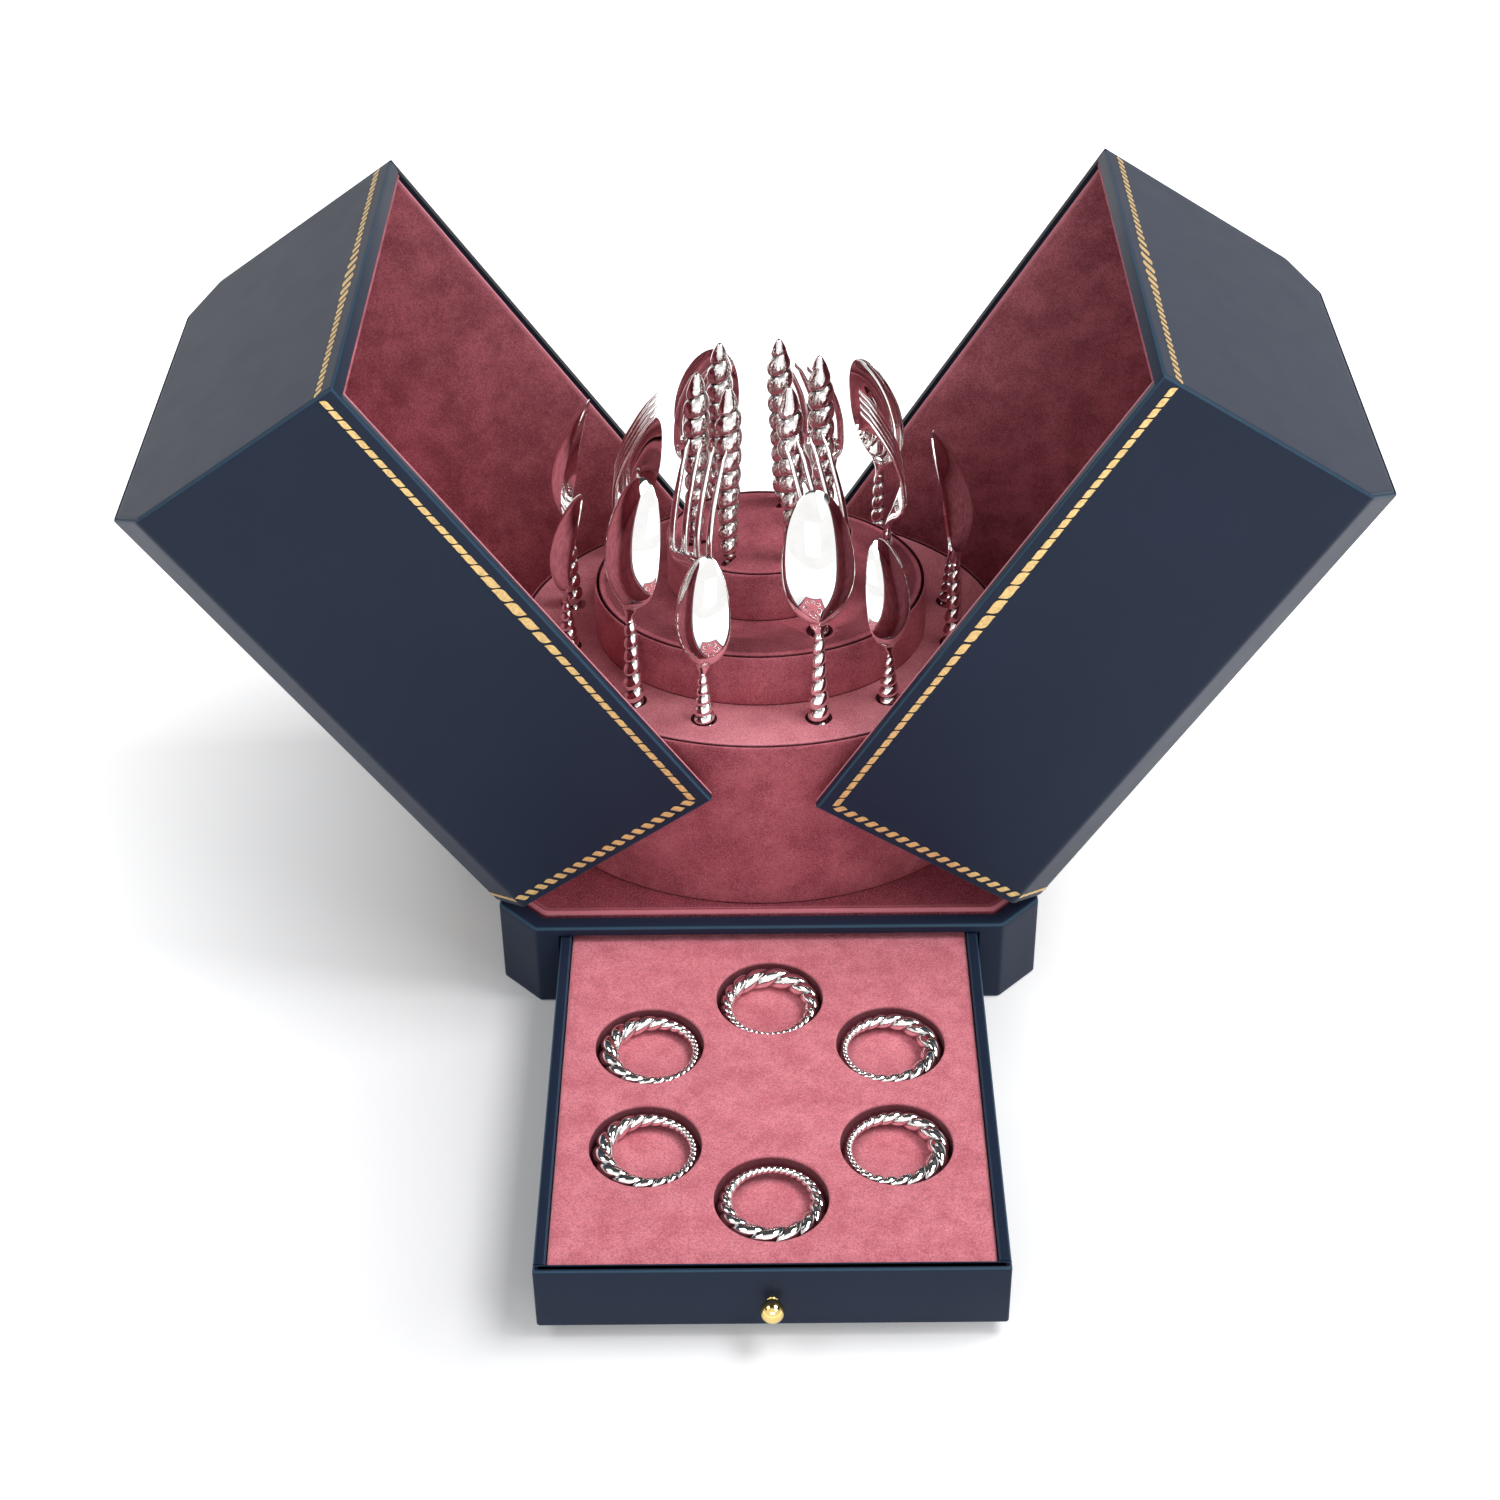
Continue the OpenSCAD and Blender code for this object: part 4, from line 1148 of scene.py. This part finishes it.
def make_rings():
    mesh = silver_mesh("napkin_ring", [ring_mesh()], 55)
    for i in range(6):
        turn = Matrix.Rotation(radians(RING_TURNS[i]), 4, "Z")
        lay_out(mesh, f"napkin_ring_{i + 1}", *recess_place(i), RING_Z, turn)


# ---------- drawer ----------
def rectangle(x0, x1, y0, y1):
    def outline(inset):
        a, b, c, d = x0 + inset, x1 - inset, y0 + inset, y1 - inset
        return [(a, c), (b, c), (b, d), (a, d)]
    return outline


def make_drawer():
    w, side = DRAWER_W, DRAWER_SIDE
    front = rectangle(-w, w, FRONT_Y, FRONT_Y + DRAWER_FRONT)
    levels = rounded_levels(DRAWER_Z, DRAWER_TOP, 1.2, 1.1)
    make("drawer_front_leather", [plate(front, levels, 3, 1.2)], M["leather"], "drawer",
         ["drawer_front"])
    y0 = FRONT_Y + DRAWER_FRONT
    corners = [(0, DRAWER_Z), (0, DRAWER_TOP), (side, DRAWER_TOP), (side, DRAWER_Z)]

    def round_three_sides(t):
        path = [(-w + t, y0), (-w + t, BACK_Y - t), (w - t, BACK_Y - t), (w - t, y0)]
        return fillet(path, [0, 1.0, 1.0, 0], 3, closed=False)

    rows, wear_and_painted_light = sweep(fillet(corners, [0.8, 1.1, 1.0, 0.3]), round_three_sides, lambda t, v, s: v)
    pegs = []
    groove_low, groove_high, play, depth, peg_l = 15.4, 23.6, 0.6, 3.8, 4.5
    for s in (-1, 1):
        xs = sorted((s * (w - 1), s * (w + play + depth)))
        levels = rounded_levels(groove_low, groove_high, 0.5, 0.5, 3)
        pegs.append(plate(rectangle(xs[0], xs[1], BACK_Y - peg_l, BACK_Y), levels, 2, 0.5))
    make("drawer_frame_leather", [(*swept(rows), wear_and_painted_light)] + pegs, M["leather"], "drawer",
         ["drawer_frame"])
    bottom = rectangle(-w + side, w - side, y0, BACK_Y - side)
    make("drawer_bottom_leather", [plate(bottom, rounded_levels(DRAWER_Z, DRAWER_Z + 3, 0.4, 0), 2, 0.5)],
         M["leather"], "drawer", ["drawer_bottom"])
    margin = 0.25
    inner = rectangle(-w + side + margin, w - side - margin, y0 + margin, BACK_Y - side - margin)
    levels = rounded_levels(DRAWER_Z + 3, INSERT_TOP, 0, 1.0)
    velvet_form = make("drawer_velvet", [plate(inner, levels, 2, 0.8)], M["insert"], None)
    # Painted shade on the recess walls.
    carve(velvet_form, [trumpet(recess_place(i), INSERT_TOP, RECESS_DEPTH, RECESS_R, 0.9, (-0.9, 0.0), 96)
                        for i in range(6)], 50)
    settle(velvet_form, "drawer", ["drawer_insert"])
    make_knob()


def lathe(profile, middle, axis, n=40):
    """A turned part: profile is (distance along axis, radius) from middle."""
    axis = Vector(axis).normalized()
    side = axis.orthogonal().normalized()
    other = axis.cross(side)
    spokes = [side * x + other * y for x, y in circle(n)]
    return closed([[tuple(Vector(middle) + axis * d + spoke * r) for spoke in spokes] for d, r in profile])


def make_knob():
    ball = [(-DRAWER_FRONT, 1.6), (0, 1.6), (0.02, 2.4), (0.5, 2.5), (0.9, 2.3), (1.2, 1.9)]
    for k in range(4, 25):
        a = pi * k / 24
        ball.append((KNOB_R + 1 - KNOB_R * cos(a), max(KNOB_R * sin(a), 0.02)))
    make("knob_brass", [lathe(ball, (0, FRONT_Y, KNOB_Z), (0, -1, 0), 64)], M["knob"], "drawer",
         ["drawer_knob"], sharp=45)


# ---------- hinges ----------
def screw_part(middle):
    """A countersunk screw head with a slot, on a shank, facing left."""
    r, h = SCREW_HEAD_R, SCREW_HEAD_H
    slot_w, slot_d = 0.28, 0.35
    out = (-1, 0, 0)
    shank = [(-4.5, 0.8), (0, 0.8), (0.01, r * 0.72), (h - 0.2, r * 0.98), (h - slot_d, r)]
    parts = [lathe(shank, middle, out, 28)]
    for s in (-1, 1):
        rim = []
        for k in range(13):
            a = acos(min(1.0, slot_w / r)) * (k / 6 - 1)
            rim.append((s * r * cos(a), r * sin(a)))
        rows = []
        for level, ring in ((h - slot_d, rim), (h - 0.08, rim), (h, [(x * 0.95, y * 0.95) for x, y in rim])):
            loop = ring + [(s * slot_w, ring[-1][1]), (s * slot_w, ring[0][1])]
            rows.append([tuple(Vector(middle) + Vector(out) * level + Vector((0, u, v))) for u, v in loop])
        parts.append(closed(rows))
    return parts


def left_screws(x, z):
    parts = []
    for y in (-HINGE_Y, HINGE_Y):
        for offset in (-SCREW_Y, SCREW_Y):
            parts += screw_part((x, y + offset, z))
    return parts


def make_screws():
    left = left_screws(-BASE_W - LEAF_T, MORTISE_Z - 7)
    right = [([(-x, y, z) for x, y, z in points], faces) for points, faces in left]
    make("base_screws_brass", left + right, M["brass"], "plinth",
         ["base_hinge_screws"], sharp=40)
    for side, place in SIDES.items():
        heads = left_screws(-COVER_W - LEAF_T, COVER_Z + 10)
        make(side + "_screws_brass", heads, M["brass"], side + "_cover",
             [side + "_hinge_screws"], place, sharp=40)


def paint_nodes():
    """Materials for the CAD nodes that stay."""
    kept = {"board": ("plinth_floor", "deck_board", "drawer_guides"),
            "brass": ("base_hinge_leaves", "hinge_pins", "left_hinge_leaves", "right_hinge_leaves")}
    for key, names in kept.items():
        for name in names:
            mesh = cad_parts[name].data
            mesh.materials.clear()
            mesh.materials.append(M[key])


# ---------- room ----------
def make_floor():
    """A pale floor that looks white through a painted glow, except round the chest, where the glow is dimmed
    to paint a soft shadow.
    """
    mesh = bpy.data.meshes.new("floor")
    corners = [(x * FLOOR_HALF, y * FLOOR_HALF, 0) for x, y in ((-1, -1), (1, -1), (1, 1), (-1, 1))]
    mesh.from_pydata(corners, [], [(0, 1, 2, 3)])
    floor = add_object("floor", mesh)
    s = Shader("floor_pale_painted_shadow")
    matt = s.node("ShaderNodeBsdfDiffuse", {"Color": (0.8, 0.8, 0.81, 1)})
    away = s.node("ShaderNodeMapping", {"Vector": s.place, "Rotation": (0, 0, SHADOW_TURN)}).outputs[0]
    for operation, value in (("SUBTRACT", SHADOW_MIDDLE), ("ABSOLUTE", None), ("SUBTRACT", SHADOW_HALF),
                             ("MAXIMUM", (0, 0, 0))):
        inputs = {0: away, 1: value} if value else {0: away}
        away = s.node("ShaderNodeVectorMath", inputs, operation=operation).outputs[0]
    away = s.node("ShaderNodeVectorMath", {0: away}, operation="LENGTH").outputs["Value"]
    # Painted shadow: the glow is 0.1 next to the chest and rises to 1 at the shadow's reach.
    strength = s.ramp(away, 0.0, SHADOW_REACH, 0.1, 1.0)
    painted_glow = s.node("ShaderNodeEmission", {"Color": (1, 1, 1, 1), "Strength": strength})
    both = s.node("ShaderNodeAddShader", {0: matt.outputs[0], 1: painted_glow.outputs[0]})
    s.surface(s.node("ShaderNodeMixShader", {0: s.seen(), 1: matt.outputs[0], 2: both.outputs[0]}))
    mesh.materials.append(s.material)


def make_world():
    """Plain fill light. What is seen is white low down and towards the front, and dark overhead."""
    world = bpy.data.worlds.new("studio")
    bpy.context.scene.world = world
    world.use_nodes = True
    w = Nodes(world.node_tree, "ShaderNodeOutputWorld")
    direction = w.node("ShaderNodeTexCoord").outputs["Generated"]
    axes = w.node("ShaderNodeSeparateXYZ", {0: direction}).outputs
    rise = w.ramp(axes["Z"], 0.18, 0.5, 1.0, CEILING, interpolation_type="SMOOTHSTEP")
    ahead = w.ramp(axes["Y"], -0.35, -0.1, 1.0, CEILING, interpolation_type="SMOOTHSTEP")
    fill = w.node("ShaderNodeBackground", {"Color": (0.93, 0.96, 1.0, 1), "Strength": 0.12})
    white = w.node("ShaderNodeBackground", {"Color": w.math("MAXIMUM", rise, ahead), "Strength": 1.0})
    w.surface(w.node("ShaderNodeMixShader", {0: w.seen(), 1: fill.outputs[0], 2: white.outputs[0]}))


def make_lights():
    """Large soft lamps that all point at the chest."""
    middle = Vector((0, -0.1, 0.1))
    for name, place, size, power in (("key", (1.05, -0.15, 1.95), (0.9, 0.9), 27),
                                     ("key_front", (1.2, -1.1, 1.7), (0.9, 0.9), 9),
                                     ("front", (0, -1.9, 0.9), (1.4, 0.8), 10),
                                     ("left", (-1.2, -0.3, 1.6), (0.9, 0.9), 7.5)):
        data = bpy.data.lights.new(name, "AREA")
        data.shape = "RECTANGLE"
        data.size, data.size_y = size
        data.energy = power
        light = add_object(name, data)
        light.location = place
        light.rotation_euler = (middle - Vector(place)).to_track_quat("-Z", "Y").to_euler()


bpy.context.scene.view_settings.view_transform = "Standard"
make_camera()
make_floor()
make_world()
make_lights()
make_covers()
make_plinth()
make_steps()
make_silverware()
make_rings()
make_drawer()
make_screws()
paint_nodes()
